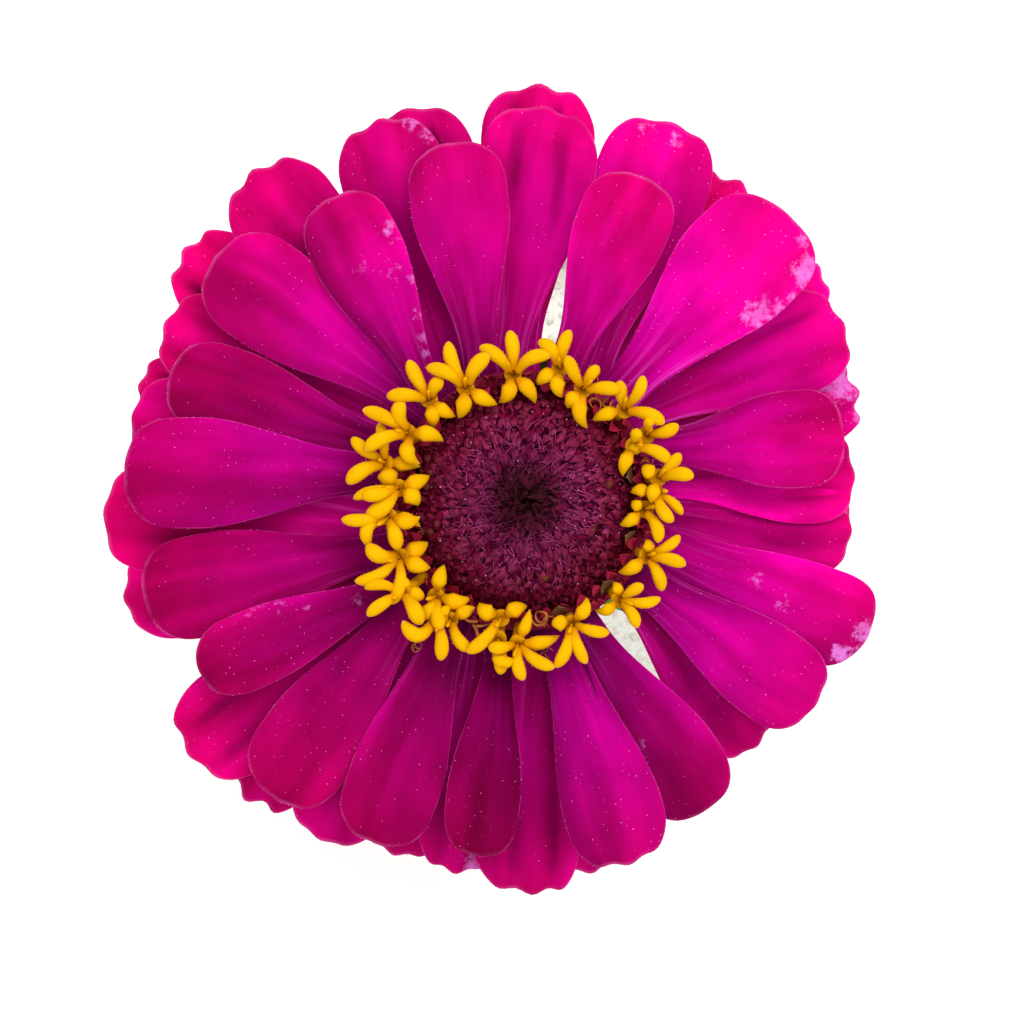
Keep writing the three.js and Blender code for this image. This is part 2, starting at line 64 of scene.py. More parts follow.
# Leaf pairs, from the compost up: height, azimuth, length, width, slope at the stem and at the tip.
# The second pair is narrower than its solids, which would show between two rays.
LEAF_PAIRS = [
    (98, 43, 53, 24, 30, -30),
    (116, 170, 52, 23.4, 40, -44),
    (137, 40, 53, 25, 43, -52),
    (160, 173, 47, 21, 47, -48),
    (185, 37, 37, 15, 50, -34),
]
LEAF = {"thickness": 0.42, "fold": 0.2, "wave": 0.7, "tip_width": 0.5, "seat": 0.6, "solid": 0.8}
SHOOT = {
    "height": 165, "azimuth": 160, "slope": 62, "length": 24, "radius": 1.2,
    "leaf_length": 17, "leaf_width": 7, "leaf_at": 0.62,
}
BUD = {"radius": 5.6, "height": 10.5}
RECEPTACLE = {"bottom": -16.5, "top": -1.6, "radius": 13.9, "foot_radius": 3.4}
RAY = {"root": 13, "inner_root": 10.2, "thickness": 0.42, "claw": 0.37, "tip_share": 0.2, "tip_round": 2.4}
WHORLS = {
    "upper": {"root": -0.1, "climb": 12.4, "droop": 9.4, "order": 0.0},
    "middle": {"root": -0.4, "climb": 7.0, "droop": 7.9, "order": 0.5},
    "lower": {"root": -0.8, "climb": 1.6, "droop": 6.8, "order": 1.0},
}
# Rays, anticlockwise from the right as seen from above: [azimuth of the tip, reach, width,
# sweep of the root, lift, cup of the edges, depth of the tip's notches, tone, blush]. Tone
# multiplies the ray's colour: it is painted light and shade, lighter on the rays to the upper
# right, where the light comes from, and darker on those to the lower left, mixed with tone that
# differs at random. Blush turns its purple to red.
RAYS = {
    "upper": [
        [11.5, 35.4, 10.6, 14, 0.7, 0.7, 0, 1.15, 0.5], [46.3, 42.2, 13.5, 1.7, 0.9, 0.7, 0, 1.55, 0.25],
        [69.8, 37.4, 10.2, 4.2, 0.5, 0.9, 0, 1.15, 0.7], [101.2, 39.6, 10.6, 8.8, 0.8, 1.0, 0, 1, 0.55],
        [122.5, 39, 10, 13, 0.7, 1.0, 0, 1.05, 0.4], [142, 42.8, 11.7, -5, 0.2, 0.8, 0, 0.95, 0.4],
        [160.5, 40.9, 9.8, -2, 0.7, 1.1, 0, 0.65, 0.75], [176.3, 43.5, 12, -9.3, 1.5, 0.8, 0, 0.87, 0.4],
        [194.2, 42.8, 11.2, 6.8, 0.2, 0.8, 0, 0.66, 0.85], [208, 39.9, 8.4, 9, 1.4, 1.8, 0, 0.58, 0.7],
        [229.5, 42.4, 11, -11, 0.3, 0.8, 0, 0.72, 1.05], [246, 40.7, 10.2, -10, 1.2, 0.9, 0, 0.55, 0.8],
        [262.5, 38.9, 8, -3, 1.5, 2.0, 0, 0.37, 0.9], [286, 41.2, 10.8, -3, 1.2, 0.6, 0.5, 0.87, 0],
        [300.6, 39.1, 10.4, -7.6, 0.2, 0.9, 0, 0.58, 0.35], [324.5, 38.7, 10.3, 1, 1.1, 0.8, 0.3, 1.08, 0.05],
        [340, 40.2, 10.6, 1.5, 0.3, 0.9, 0, 1.2, 0.3],
    ],
    "middle": [
        [4.5, 36.5, 10.6, 4, 0.5, 0.5, 0.3, 1.05, 0.25], [29, 40.3, 11.4, 11, 0.4, 0.5, 0.5, 1.1, 0.15],
        [68.8, 44.9, 12.7, -7.3, 0.3, 0.5, 0.6, 1.25, 0.1], [87, 43.3, 12.9, 14.5, 0.9, 0.6, 0.3, 1.02, 0.5],
        [111, 45, 11.7, 12, 0.2, 0.5, 0.4, 0.87, 0.5], [129.5, 47.1, 12.3, 10.5, 0.4, 0.5, 0.5, 1.12, 0.6],
        [154, 44.3, 10.8, -7, 0.1, 0.5, 0.3, 1.1, 0.8], [168, 44.5, 10.6, -2, -0.4, 0.5, 0.3, 1.1, 0.3],
        [182, 46.6, 12.3, 15, 0.4, 0.5, 0.5, 1.3, 1.0], [216.8, 46.6, 12.3, 4.7, 0.4, 0.6, 0.6, 1.1, 0.65],
        [239, 43.8, 10.6, -12, 0.3, 0.5, 0.3, 0.85, 0.2], [259.6, 41.9, 9.2, -11, 0.1, 0.5, 0.5, 0.8, 0.2],
        [271, 43.6, 11.7, 7, 0.7, 0.5, 0.8, 0.74, 0.3], [313.5, 37.3, 9.5, 6, 0.3, 0.5, 0.3, 0.8, 0],
        [354, 36.3, 10.1, 2, -0.3, 0.5, 0.2, 0.9, 0.5],
    ],
    "lower": [
        [18, 39.5, 10, 8, 0, 0.3, 0.8, 1.05, 0], [38.3, 42.2, 10, 6.2, 0.2, 0.3, 0.4, 1.3, 0.1],
        [56, 43.2, 10.6, -3, 0, 0.3, 0.6, 1.2, 0.6], [87.7, 46.7, 12.6, 6.3, 0.2, 0.3, 0.6, 1.15, 0.5],
        [106.7, 46, 12.3, 7.3, -0.4, 0.3, 0.4, 0.87, 0.65], [144, 47.6, 11, -0.5, 0.1, 0.3, 0.9, 1.4, 0.85],
        [163.5, 45.2, 10, -7, 0, 0.3, 0.4, 1.1, 0.8], [193.5, 46.2, 11, 17.5, 0.2, 0.3, 0.5, 1.2, 0.5],
        [227, 45.7, 10.6, -6, 0.1, 0.3, 0.6, 0.87, 0.4], [250, 42.4, 10, -10, 0, 0.3, 0.4, 0.75, 0.4],
        [280, 42.5, 10, -3, 0, 0.3, 0.5, 0.9, 0],
    ],
}
# Rays that aren't even: share of the width at the claw, where the widest part ends, lean of the
# width to the left, bow of the middle to the left in mm, how far the claw lies lower in mm, and how
# light the right and the left side are. That lightness of the sides is painted light and shade
# from the way light falls across the ray's curve, partly the ray's own uneven colour.
UNEVEN = {
    ("upper", 0): {"sides": (0.8, 0.72)},
    ("upper", 1): {"lean": 0.08, "bow": 0.3, "sides": (1.08, 0.8)},
    ("upper", 3): {"lean": 0.06, "sides": (1.15, 0.68)}, ("upper", 4): {"sides": (1.3, 0.45)},
    ("upper", 5): {"sides": (1.4, 0.85)}, ("upper", 6): {"sides": (1.3, 0.75), "sunk": 1.2},
    ("upper", 7): {"sides": (1.1, 0.65)}, ("upper", 8): {"sides": (1.3, 1.0)},
    ("upper", 9): {"sides": (1.9, 1.25)}, ("upper", 10): {"sides": (0.92, 1.15)},
    ("upper", 11): {"claw": 0.45, "sides": (1.4, 0.95)}, ("upper", 12): {"sides": (1.5, 1.1)},
    ("upper", 13): {"claw": 0.43, "belly": 0.78, "sides": (0.6, 1.1)},
    ("upper", 14): {"claw": 0.42, "sides": (0.54, 1.55)},
    ("upper", 15): {"claw": 0.46, "sides": (0.65, 0.85)},
    ("upper", 16): {"claw": 0.56, "lean": -0.12, "bow": -0.3, "sides": (0.4, 1.4)},
    ("middle", 0): {"sides": (1.7, 0.9)}, ("middle", 8): {"claw": 0.62, "bow": -0.8},
    ("middle", 12): {"claw": 0.62, "lean": -0.15, "sides": (1.1, 1.4)},
    ("middle", 13): {"sides": (1.2, 0.55)}, ("middle", 14): {"claw": 0.5, "sides": (1.0, 1.6)},
    ("lower", 1): {"sides": (1.5, 1.0)}, ("lower", 3): {"sides": (1.4, 1.0)},
    ("lower", 4): {"sides": (1.0, 1.4)}, ("lower", 10): {"sides": (1.9, 1.2)},
}
# Pale lilac patches of a ray: share along it, share across it, radius in mm, how full
PALE_PATCHES = {
    ("upper", 1): [(0.97, -0.35, 1.4, 0.5), (0.89, -0.75, 2.6, 1.0), (0.75, -0.95, 2.4, 0.8),
                   (0.65, -0.7, 2.8, 0.8), (0.58, -0.95, 1.8, 0.4)],
    ("upper", 4): [(0.76, -0.85, 2.0, 0.4), (0.68, 0.1, 1.3, 0.5), (0.62, -0.5, 1.8, 0.25),
                   (0.4, -0.9, 1.5, 0.4), (0.32, -0.95, 1.6, 0.6), (0.25, -0.95, 1.6, 0.5),
                   (0.56, -0.95, 1.4, 0.4)],
    ("upper", 16): [(0.92, -0.75, 2.0, 0.9), (1.0, -0.2, 2.6, 0.9), (0.5, 0.1, 1.6, 0.3),
                    (0.62, -0.2, 1.6, 0.2)],
    ("lower", 0): [(0.93, 0.3, 3.4, 1.0), (1.0, -0.5, 2.4, 1.0)],
    ("middle", 2): [(0.95, 0.4, 1.5, 0.4), (0.94, -0.15, 1.6, 0.6)],
    ("middle", 4): [(0.96, -0.6, 1.8, 0.7), (0.9, -0.8, 1.6, 0.6)],
    ("middle", 11): [(0.97, 0.55, 2.8, 1.0)],
    ("middle", 14): [(0.95, 0.6, 1.4, 0.4)],
    ("upper", 14): [(0.62, -0.4, 1.3, 0.4)],
    ("upper", 9): [(0.6, -0.9, 1.6, 0.3), (0.3, -0.2, 1.7, 0.4), (0.7, -0.95, 1.4, 0.4),
                   (0.5, -0.6, 1.0, 0.3)],
    ("upper", 8): [(0.45, -0.3, 0.9, 0.3)],
}
CONE = {
    "bottom": 0.8, "radius": 12.5, "wall_top": 2.6, "top": 10.2, "bulge": 0.75, "dimple": 1.6,
    "dimple_radius": 3,
}
# Where the cover of the dome ends, and where its brim ends
COVER_RADIUS = 12.3
BRIM_RADIUS = 14
FLORET = {"foot": 13.4, "foot_height": 2.2, "mouth_height": 7.1, "uneven": 1.3}
# Open disc florets: where the mouth is, then each lobe's tip, width and sideways bend
FLORETS = [
    ((-6.4, 12.1), [(-8.2, 17.0, 1.4, 0), (-10.6, 14.1, 1.4, -0.5), (-3.8, 15.5, 1.6, 0.4),
                    (-7.2, 8.8, 1.6, 0), (-3.0, 10.3, 1.5, 0)]),
    ((-10.3, 10.8), [(-12.5, 15.0, 1.4, 0), (-8.8, 12.9, 1.4, 0), (-14.8, 11.0, 1.4, -0.3),
                     (-7.5, 9.0, 1.4, 0), (-10.0, 7.8, 1.5, 0)]),
    ((-12.6, 7.2), [(-13.0, 10.7, 1.5, 0.7), (-17.4, 9.6, 1.4, 0), (-8.8, 6.3, 1.6, 0),
                    (-11.3, 3.9, 1.6, -0.8), (-17.1, 5.2, 1.5, -0.5)]),
    ((-15.1, 4.0), [(-18.6, 6.7, 1.3, 0.2), (-15.7, 8.3, 1.2, 0), (-11.3, 3.6, 1.5, 0),
                    (-19.0, 1.7, 1.6, 0), (-15.0, 1.4, 2.0, 0)]),
    ((-13.6, 1.3), [(-10.3, 2.6, 1.6, 0), (-18.4, 0.1, 1.1, 0), (-17.1, -1.6, 1.7, 0),
                    (-11.5, -0.6, 1.8, 0), (-17.6, 0.6, 1.4, 0)]),
    ((-14.7, -1.8), [(-11.3, -1.8, 1.6, 0), (-19.7, -2.1, 1.3, 0.2), (-11.3, -2.9, 1.2, 0),
                     (-16.7, -5.0, 1.3, -1.2), (-13.7, -5.3, 1.5, 0.2)]),
    ((-13.5, -6.1), [(-10.5, -4.6, 1.7, 0), (-16.8, -4.7, 1.6, 0.7), (-18.3, -8.7, 1.3, 0),
                     (-14.4, -11.2, 1.3, 0), (-10.2, -7.3, 1.7, 0)]),
    ((-13.1, -9.9), [(-17.2, -9.5, 1.1, 0), (-16.9, -12.4, 1.3, 0), (-10.9, -10.6, 1.6, 0),
                     (-12.7, -8.4, 1.4, 0), (-11.2, -13.3, 1.6, 0)]),
    ((-9.6, -10.4), [(-8.7, -7.0, 1.5, 0), (-5.9, -10.5, 1.6, 0), (-9.0, -13.9, 1.5, 0),
                     (-11.2, -12.4, 1.5, 0)]),
    ((-9.3, -13.0), [(-9.1, -17.2, 1.4, 0), (-13.1, -12.9, 1.5, 1.5), (-7.9, -11.5, 1.0, 0)]),
    ((-8.1, -12.9), [(-5.4, -11.6, 1.4, 0), (-5.7, -16.1, 1.3, -0.5)]),
    ((-2.6, -12.7), [(-4.9, -11.1, 1.7, 0), (0.2, -11.5, 1.6, 0), (-6.3, -16.3, 1.4, 0.4)]),
    ((-2.9, -15.0), [(-2.7, -18.7, 1.4, 0.2), (-1.0, -17.2, 1.3, -1.3)]),
    ((-0.8, -15.5), [(0.5, -11.8, 1.2, 0), (3.7, -14.6, 1.4, -0.3), (3.2, -17.9, 1.3, -0.4),
                     (-0.1, -19.3, 1.3, 0), (-3.9, -15.7, 1.3, 0)]),
    ((5.0, -13.3), [(6.6, -10.5, 1.4, 0), (9.0, -14.2, 1.2, -0.2), (6.6, -17.5, 1.2, 0),
                    (3.2, -17.9, 1.3, 0.4), (2.9, -13.4, 1.6, 0)]),
    ((10.2, -10.7), [(9.5, -8.9, 1.1, 0), (12.7, -9.2, 1.2, 0), (14.5, -10.5, 1.1, 0),
                     (11.9, -13.7, 1.2, 0), (7.6, -11.9, 1.2, 0.4)]),
    ((13.2, -6.0), [(13.0, -4.3, 1.2, 0), (16.6, -3.8, 1.1, -0.3), (17.2, -7.0, 1.3, 0),
                    (14.7, -9.8, 1.3, 0.3), (10.1, -7.8, 1.4, 0.3)]),
    ((12.9, -1.0), [(11.6, -0.1, 1.2, 0), (10.2, -2.7, 1.3, 0.2), (14.2, -4.6, 1.3, 0.5)]),
    ((14.0, 0.9), [(11.4, 0.8, 1.3, 0), (15.9, -2.3, 1.3, 0), (16.9, -1.6, 1.0, 0.3)]),
    ((14.3, 2.4), [(12.7, 3.7, 1.5, 0), (16.6, 5.0, 1.2, 0), (18.0, 2.4, 1.4, 0),
                   (13.7, -0.4, 1.4, 0)]),
    ((11.7, 5.8), [(10.5, 2.6, 1.4, 0), (15.6, 3.9, 1.3, 0.5), (12.1, 7.4, 1.2, 0)]),
    ((13.1, 7.0), [(13.6, 8.7, 1.0, 0), (16.4, 8.1, 1.3, 0), (10.6, 5.2, 1.1, 0)]),
    ((10.7, 9.7), [(10.2, 12.8, 1.3, 0), (12.6, 13.3, 1.2, -0.4), (7.3, 8.6, 1.4, 0),
                   (14.9, 8.1, 1.4, 0.4)]),
    ((6.2, 11.9), [(10.3, 11.7, 1.4, 0), (6.7, 7.7, 1.5, 0), (4.6, 9.9, 1.6, 0),
                   (4.5, 15.4, 1.3, 0), (7.9, 14.3, 1.2, 0)]),
    ((3.8, 14.2), [(4.9, 18.2, 1.3, 0), (1.4, 17.0, 1.4, -0.5), (1.3, 12.4, 1.5, 0),
                   (4.0, 11.0, 1.5, 0)]),
    ((-1.3, 13.6), [(-1.7, 18.2, 1.4, 0), (-4.9, 16.4, 1.4, -0.4), (2.8, 15.4, 1.4, 0),
                    (-2.8, 10.5, 1.6, 0), (1.1, 10.4, 1.5, 0)]),
]


# Small formulas

def smooth(t):
    t = np.clip(t, 0.0, 1.0)
    return t * t * (3.0 - 2.0 * t)


def lerp(a, b, t):
    return a + (b - a) * t


def around(azimuth, radius, height=0.0):
    turn = math.radians(azimuth)
    return np.array([radius * math.cos(turn), radius * math.sin(turn), height])


def round_turns(sides):
    return np.arange(sides) * (2 * np.pi / sides)


def crowded(count):
    """Places across a blade from -1 to 1, closer together at its edges."""
    return np.sin(np.linspace(-1, 1, count) * np.pi / 2)[None, :]


def round_off(x, power):
    """1 in the middle and 0 where x is 1 or -1. A high power keeps the drop near the edge."""
    return np.sqrt(np.clip(1 - np.abs(x) ** power, 0, 1))


def bump_at(x, centre, width):
    return np.exp(-(((x - centre) / width) ** 2))


def ripple(draw, x, y, cycles, terms=4):
    """An even mix of a few slanting waves, between about -1 and 1."""
    total = 0.0
    for _ in range(terms):
        slant = draw.uniform(-0.6, 0.6)
        rate = cycles * draw.uniform(0.6, 1.5)
        total = total + np.sin(rate * (x + slant * y) * 2 * np.pi + draw.uniform(0, 6.28))
    return total / terms


# Collects points and faces of one piece, with a value for each point, and makes it one mesh

class Shell:
    def __init__(self):
        self.points = []
        self.faces = []
        self.values = {}
        self.count = 0

    def add(self, points, faces, **values):
        points = np.asarray(points, float).reshape(-1, 3)
        self.faces += [[corner + self.count for corner in face] for face in faces]
        for name, value in values.items():
            column = np.broadcast_to(np.asarray(value, float).reshape(-1), (len(points),))
            self.values.setdefault(name, []).append(column)
        self.points.append(points)
        self.count += len(points)

    def build(self, name, material, at=(0.0, 0.0, 0.0)):
        mesh = bpy.data.meshes.new(name)
        points = (np.concatenate(self.points) + np.array(at)) * MM
        mesh.from_pydata(points.tolist(), [], self.faces)
        for key, columns in self.values.items():
            attribute = mesh.attributes.new(key, "FLOAT", "POINT")
            attribute.data.foreach_set("value", np.concatenate(columns).astype(np.float32))
        face_outward(mesh)
        mesh.shade_smooth()
        mesh.materials.append(material)
        return show(bpy.data.objects.new(name, mesh))


def show(obj):
    bpy.context.scene.collection.objects.link(obj)
    return obj


def face_outward(mesh):
    work = bmesh.new()
    work.from_mesh(mesh)
    bmesh.ops.recalc_face_normals(work, faces=work.faces)
    work.to_mesh(mesh)
    work.free()


def settle(obj, slot, *nodes):
    """Fixes a finished piece to the plant and hides the solids that it stands for. Its finish's name, `slot`,
    is not used.
    """
    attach(obj, "root")
    if nodes:
        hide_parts(*nodes)
    return obj


def grid_faces(grid):
    """Faces between neighbours in a grid of point numbers."""
    corners = (grid[:-1, :-1], grid[1:, :-1], grid[1:, 1:], grid[:-1, 1:])
    return np.stack([corner.reshape(-1) for corner in corners], axis=1).tolist()


def tube_faces(rings, sides, ends="open"):
    """Faces of a tube of rings, whose ends are open, joined to each other, or closed by the two
    poles that come after its points."""
    grid = np.arange(rings * sides).reshape(rings, sides)
    faces = grid_faces(np.pad(grid, ((0, int(ends == "joined")), (0, 1)), "wrap"))
    first = rings * sides
    last_row = first - sides
    for j in range(sides if ends == "poles" else 0):
        k = (j + 1) % sides
        faces.append([first, j, k])
        faces.append([first + 1, last_row + k, last_row + j])
    return faces


def lens(upper, lower):
    """A closed blade from two grids of points that share their outline."""
    rows, columns = upper.shape[:2]
    top = np.arange(rows * columns).reshape(rows, columns)
    under = top.copy()
    inside = (rows - 2) * (columns - 2)
    under[1:-1, 1:-1] = rows * columns + np.arange(inside).reshape(rows - 2, columns - 2)
    points = np.concatenate([upper.reshape(-1, 3), lower[1:-1, 1:-1].reshape(-1, 3)])
    return points, grid_faces(top) + [face[::-1] for face in grid_faces(under)]


def lens_values(grid, under=None):
    """Spreads a grid of values over the points of a lens, with `under` on its lower face."""
    below = grid if under is None else under
    return np.concatenate([grid.reshape(-1), below[1:-1, 1:-1].reshape(-1)])


def lathe(profile, sides, wobble=None):
    """A closed turned shape. The profile runs from axis to axis, or closes on itself."""
    on_axis = profile[0][0] < 1e-6
    ring = profile[1:-1] if on_axis else profile[:-1]
    turns = round_turns(sides)
    radius = np.array([r for r, _ in ring])[:, None]
    height = np.array([z for _, z in ring])[:, None]
    if wobble is not None:
        radius, height = wobble(radius, height, turns[None, :])
    x, y = radius * np.cos(turns), radius * np.sin(turns)
    points = np.stack([x, y, np.broadcast_to(height, x.shape)], axis=-1).reshape(-1, 3)
    if on_axis:
        poles = [[0, 0, profile[0][1]], [0, 0, profile[-1][1]]]
        points = np.concatenate([points, poles])
    faces = tube_faces(len(ring), sides, "poles" if on_axis else "joined")
    return points, [face[:1] + face[:0:-1] for face in faces]


def sweep(path, widths, heights, sides, up=(0.0, 0.0, 1.0)):
    """A closed limb of oval section along a path of points, with a pole at each end."""
    path = np.asarray(path, float)
    steps = len(path)
    along = np.gradient(path, axis=0)
    along /= np.linalg.norm(along, axis=1)[:, None]
    side = np.cross(along, np.broadcast_to(np.asarray(up, float), path.shape))
    side /= np.maximum(np.linalg.norm(side, axis=1)[:, None], 1e-6)
    rise = np.cross(side, along)
    turns = round_turns(sides)
    widths = np.broadcast_to(np.asarray(widths, float).reshape(steps, -1), (steps, sides))
    heights = np.broadcast_to(np.asarray(heights, float).reshape(steps, -1), (steps, sides))
    points = (
        path[:, None, :]
        + side[:, None, :] * (widths * np.cos(turns))[:, :, None]
        + rise[:, None, :] * (heights * np.sin(turns))[:, :, None]
    ).reshape(-1, 3)
    share = np.repeat(np.linspace(0, 1, steps), sides)
    points = np.concatenate([points, path[:1], path[-1:]])
    return points, tube_faces(steps, sides, "poles"), np.concatenate([share, [0.0, 1.0]])


def curve(start, middle, end, steps):
    """Points on a curve from `start` to `end` that `middle` pulls towards itself."""
    t = np.linspace(0, 1, steps)[:, None]
    return start * (1 - t) ** 2 + middle * 2 * t * (1 - t) + end * t**2


def bent(start, end, bend, steps, rise=0.0):
    """Points of an arc between two places, bent to the left by `bend` and up by `rise`."""
    start, end = np.asarray(start, float), np.asarray(end, float)
    chord = end - start
    left = np.array([-chord[1], chord[0], 0.0])
    left /= max(np.linalg.norm(left), 1e-6)
    middle = (start + end) / 2 + left * 2 * bend + np.array([0.0, 0.0, 2 * rise])
    return curve(start, middle, end, steps)


# Finishes

def colour(red, green, blue):
    """A colour from its everyday 0 to 255 values."""
    def linear(value):
        share = value / 255
        return share / 12.92 if share <= 0.04045 else ((share + 0.055) / 1.055) ** 2.4
    return (linear(red), linear(green), linear(blue), 1.0)


def add_node(tree, kind, inputs=None, **settings):
    """A new node, with a link or a value for each socket that `inputs` names or numbers. Colours
    are everyday values."""
    node = tree.nodes.new(kind)
    for key, value in settings.items():
        setattr(node, key, value)
    for key, value in (inputs or {}).items():
        socket = node.inputs[key]
        if isinstance(value, bpy.types.NodeSocket):
            tree.links.new(value, socket)
        else:
            socket.default_value = colour(*value) if socket.type == "RGBA" else value
    return node


class Finish:
    """One material, built from nodes. Most methods add a node and give back its result."""

    def __init__(self, name, roughness, specular):
        self.material = bpy.data.materials.new(name)
        self.material.use_nodes = True
        self.tree = self.material.node_tree
        self.shader = self.tree.nodes["Principled BSDF"]
        self.shader.inputs["Roughness"].default_value = roughness
        self.shader.inputs["Specular IOR Level"].default_value = specular

    def add(self, kind, inputs=None, **settings):
        return add_node(self.tree, kind, inputs, **settings)

    def value(self, name):
        return self.add("ShaderNodeAttribute", attribute_name=name).outputs["Fac"]

    def place(self, stretch=(1.0, 1.0, 1.0)):
        own = self.add("ShaderNodeTexCoord").outputs["Object"]
        return self.add("ShaderNodeMapping", {"Vector": own, "Scale": stretch}).outputs["Vector"]

    def point(self, x, y, z):
        return self.add("ShaderNodeCombineXYZ", {0: x, 1: y, 2: z}).outputs[0]

    def noise(self, scale, detail=3.0, vector=None, rough=0.5):
        vector = self.place() if vector is None else vector
        inputs = {"Scale": scale, "Detail": detail, "Roughness": rough, "Vector": vector}
        return self.add("ShaderNodeTexNoise", inputs).outputs["Fac"]

    def calc(self, operation, first, second=0.0):
        return self.add("ShaderNodeMath", {0: first, 1: second}, operation=operation).outputs[0]

    def times(self, first, second):
        return self.calc("MULTIPLY", first, second)

    def span(self, value, low, high, to_low=0.0, to_high=1.0):
        inputs = {0: value, 1: low, 2: high, 3: to_low, 4: to_high}
        return self.add("ShaderNodeMapRange", inputs, interpolation_type="SMOOTHSTEP").outputs[0]

    def ramp(self, value, *stops):
        """Each stop has a position and three everyday values, or four of the renderer's own."""
        node = self.add("ShaderNodeValToRGB", {"Fac": value})
        elements = node.color_ramp.elements
        while len(elements) < len(stops):
            elements.new(0.5)
        for element, (position, *tint) in zip(elements, stops):
            element.position = position
            element.color = tint if len(tint) == 4 else colour(*tint)
        return node.outputs["Color"]

    def blend(self, share, first, second):
        return self.add("ShaderNodeMix", {0: share, 6: first, 7: second}, data_type="RGBA").outputs[2]

    def scale(self, tint, amount):
        return self.add("ShaderNodeVectorMath", {0: tint, "Scale": amount}, operation="SCALE").outputs[0]

    def from_axis(self):
        """Distance from the bloom's upright axis, in mm."""
        places = {0: self.place((1, 1, 0)), 1: (BLOOM["x"] * MM, BLOOM["y"] * MM, 0)}
        far = self.add("ShaderNodeVectorMath", places, operation="DISTANCE").outputs["Value"]
        return self.times(far, 1 / MM)

    def raise_by(self, height, strength, depth):
        """Fine relief, `depth` mm deep."""
        inputs = {"Strength": strength, "Distance": depth * MM, "Height": height}
        relief = self.add("ShaderNodeBump", inputs)
        self.tree.links.new(relief.outputs["Normal"], self.shader.inputs["Normal"])

    def done(self, base):
        self.tree.links.new(base, self.shader.inputs["Base Color"])
        return self.material


def two_tone(name, roughness, specular, scale, detail, *stops):
    """A finish that only wanders between two tones."""
    finish = Finish(name, roughness, specular)
    return finish.done(finish.ramp(finish.noise(scale, detail), *stops))


def petal_finish():
    finish = Finish("petal magenta", 0.65, 0.01)
    along = finish.value("along")
    across = finish.value("across")
    draw = finish.value("draw")
    lane = finish.point(finish.times(along, 1.1), finish.times(across, 0.8), draw)
    bands = finish.noise(1.7, 2.0, lane)
    thread = finish.point(finish.times(along, 0.22), across, draw)
    veins = finish.noise(7.0, 4.0, thread, 0.6)
    purple = finish.ramp(
        along, (0.0, 0.14, 0.002, 0.07, 1), (0.16, 0.265, 0, 0.133, 1), (0.3, 0.325, 0, 0.163, 1),
        (0.5, 0.375, 0, 0.174, 1), (0.7, 0.39, 0, 0.153, 1), (0.86, 0.375, 0, 0.122, 1),
        (1.0, 0.36, 0, 0.102, 1),
    )
    red = finish.ramp(
        along, (0.0, 0.14, 0, 0.055, 1), (0.16, 0.25, 0, 0.098, 1), (0.3, 0.31, 0, 0.108, 1),
        (0.5, 0.37, 0, 0.118, 1), (0.7, 0.395, 0, 0.1, 1), (1.0, 0.375, 0, 0.07, 1),
    )
    blush = finish.calc("ADD", finish.value("blush"), finish.span(bands, 0.35, 0.65, 0.25, -0.25))
    base = finish.blend(finish.span(blush, -0.1, 1.1), purple, red)
    # Painted light and shade of each ray (its tone), with lengthwise bands of random tone
    shade = finish.times(finish.value("tone"), finish.span(bands, 0.3, 0.7, 0.8, 1.22))
    # Painted shade in the folds darkens the colour
    shade = finish.times(shade, finish.calc("SUBTRACT", 1.0, finish.value("crease")))
    blots = finish.noise(190.0, 3.0)
    shade = finish.times(shade, finish.span(blots, 0.3, 0.7, 0.9, 1.1))
    base = finish.blend(finish.span(blots, 0.45, 0.7, 0.0, 0.15), base, red)
    fine = finish.span(along, 0.2, 0.75, 0.7, 0.4)
    fine = finish.times(fine, finish.span(veins, 0.35, 0.7, -0.1, 0.1))
    shade = finish.times(shade, finish.calc("ADD", fine, 1.0))
    base = finish.scale(base, shade)
    claw = finish.span(along, 0.1, 0.5, 0.6, 0.0)
    claw = finish.times(claw, finish.span(veins, 0.5, 0.75))
    edge = finish.times(finish.span(finish.calc("ABSOLUTE", across), 0.4, 1.0, 0.0, 1.6), claw)
    claw = finish.times(finish.calc("ADD", claw, edge), 0.4)
    base = finish.blend(claw, base, finish.scale(colour(186, 74, 182)[:3], finish.value("tone")))
    # Pale lilac patches, mottled and clouded
    mottle = finish.noise(1300.0, 4.0, rough=0.6)
    patch = finish.calc("ADD", finish.times(finish.value("bleach"), 0.3), mottle)
    cloud = finish.span(finish.noise(500.0, 3.0), 0.35, 0.65, 0.45, 0.85)
    patch = finish.times(finish.span(patch, 0.53, 0.78), cloud)
    base = finish.blend(patch, base, (204, 112, 200))
    # A pale pink line along the rims: partly the pale edge hairs, partly painted highlight where light
    # catches the edge
    broken = finish.span(finish.noise(420.0, 3.0), 0.35, 0.65, 0.1, 0.8)
    base = finish.blend(finish.times(finish.value("rim"), broken), base, (206, 84, 154))
    base = finish.blend(finish.times(finish.value("under"), 0.5), base, (206, 92, 150))
    grain = finish.calc("ADD", finish.times(veins, 0.35), finish.noise(2400.0, 2.0))
    finish.raise_by(grain, 0.2, 0.1)
    return finish.done(base)


def disc_finish():
    finish = Finish("disc maroon", 0.75, 0.05)
    speckle = finish.noise(800.0, 4.0)
    # Painted light: the dome's maroon is lighter than its own, against the shade of the scales over it
    base = finish.ramp(speckle, (0.3, 118, 12, 52), (0.7, 146, 20, 66))
    base = finish.blend(finish.span(finish.from_axis(), 1.5, 4.5, 0.95, 0.0), base, (46, 9, 18))
    base = finish.blend(finish.span(finish.from_axis(), 8.5, 12.5, 0.0, 0.9), base, (120, 20, 50))
    finish.raise_by(speckle, 0.5, 0.2)
    return finish.done(base)


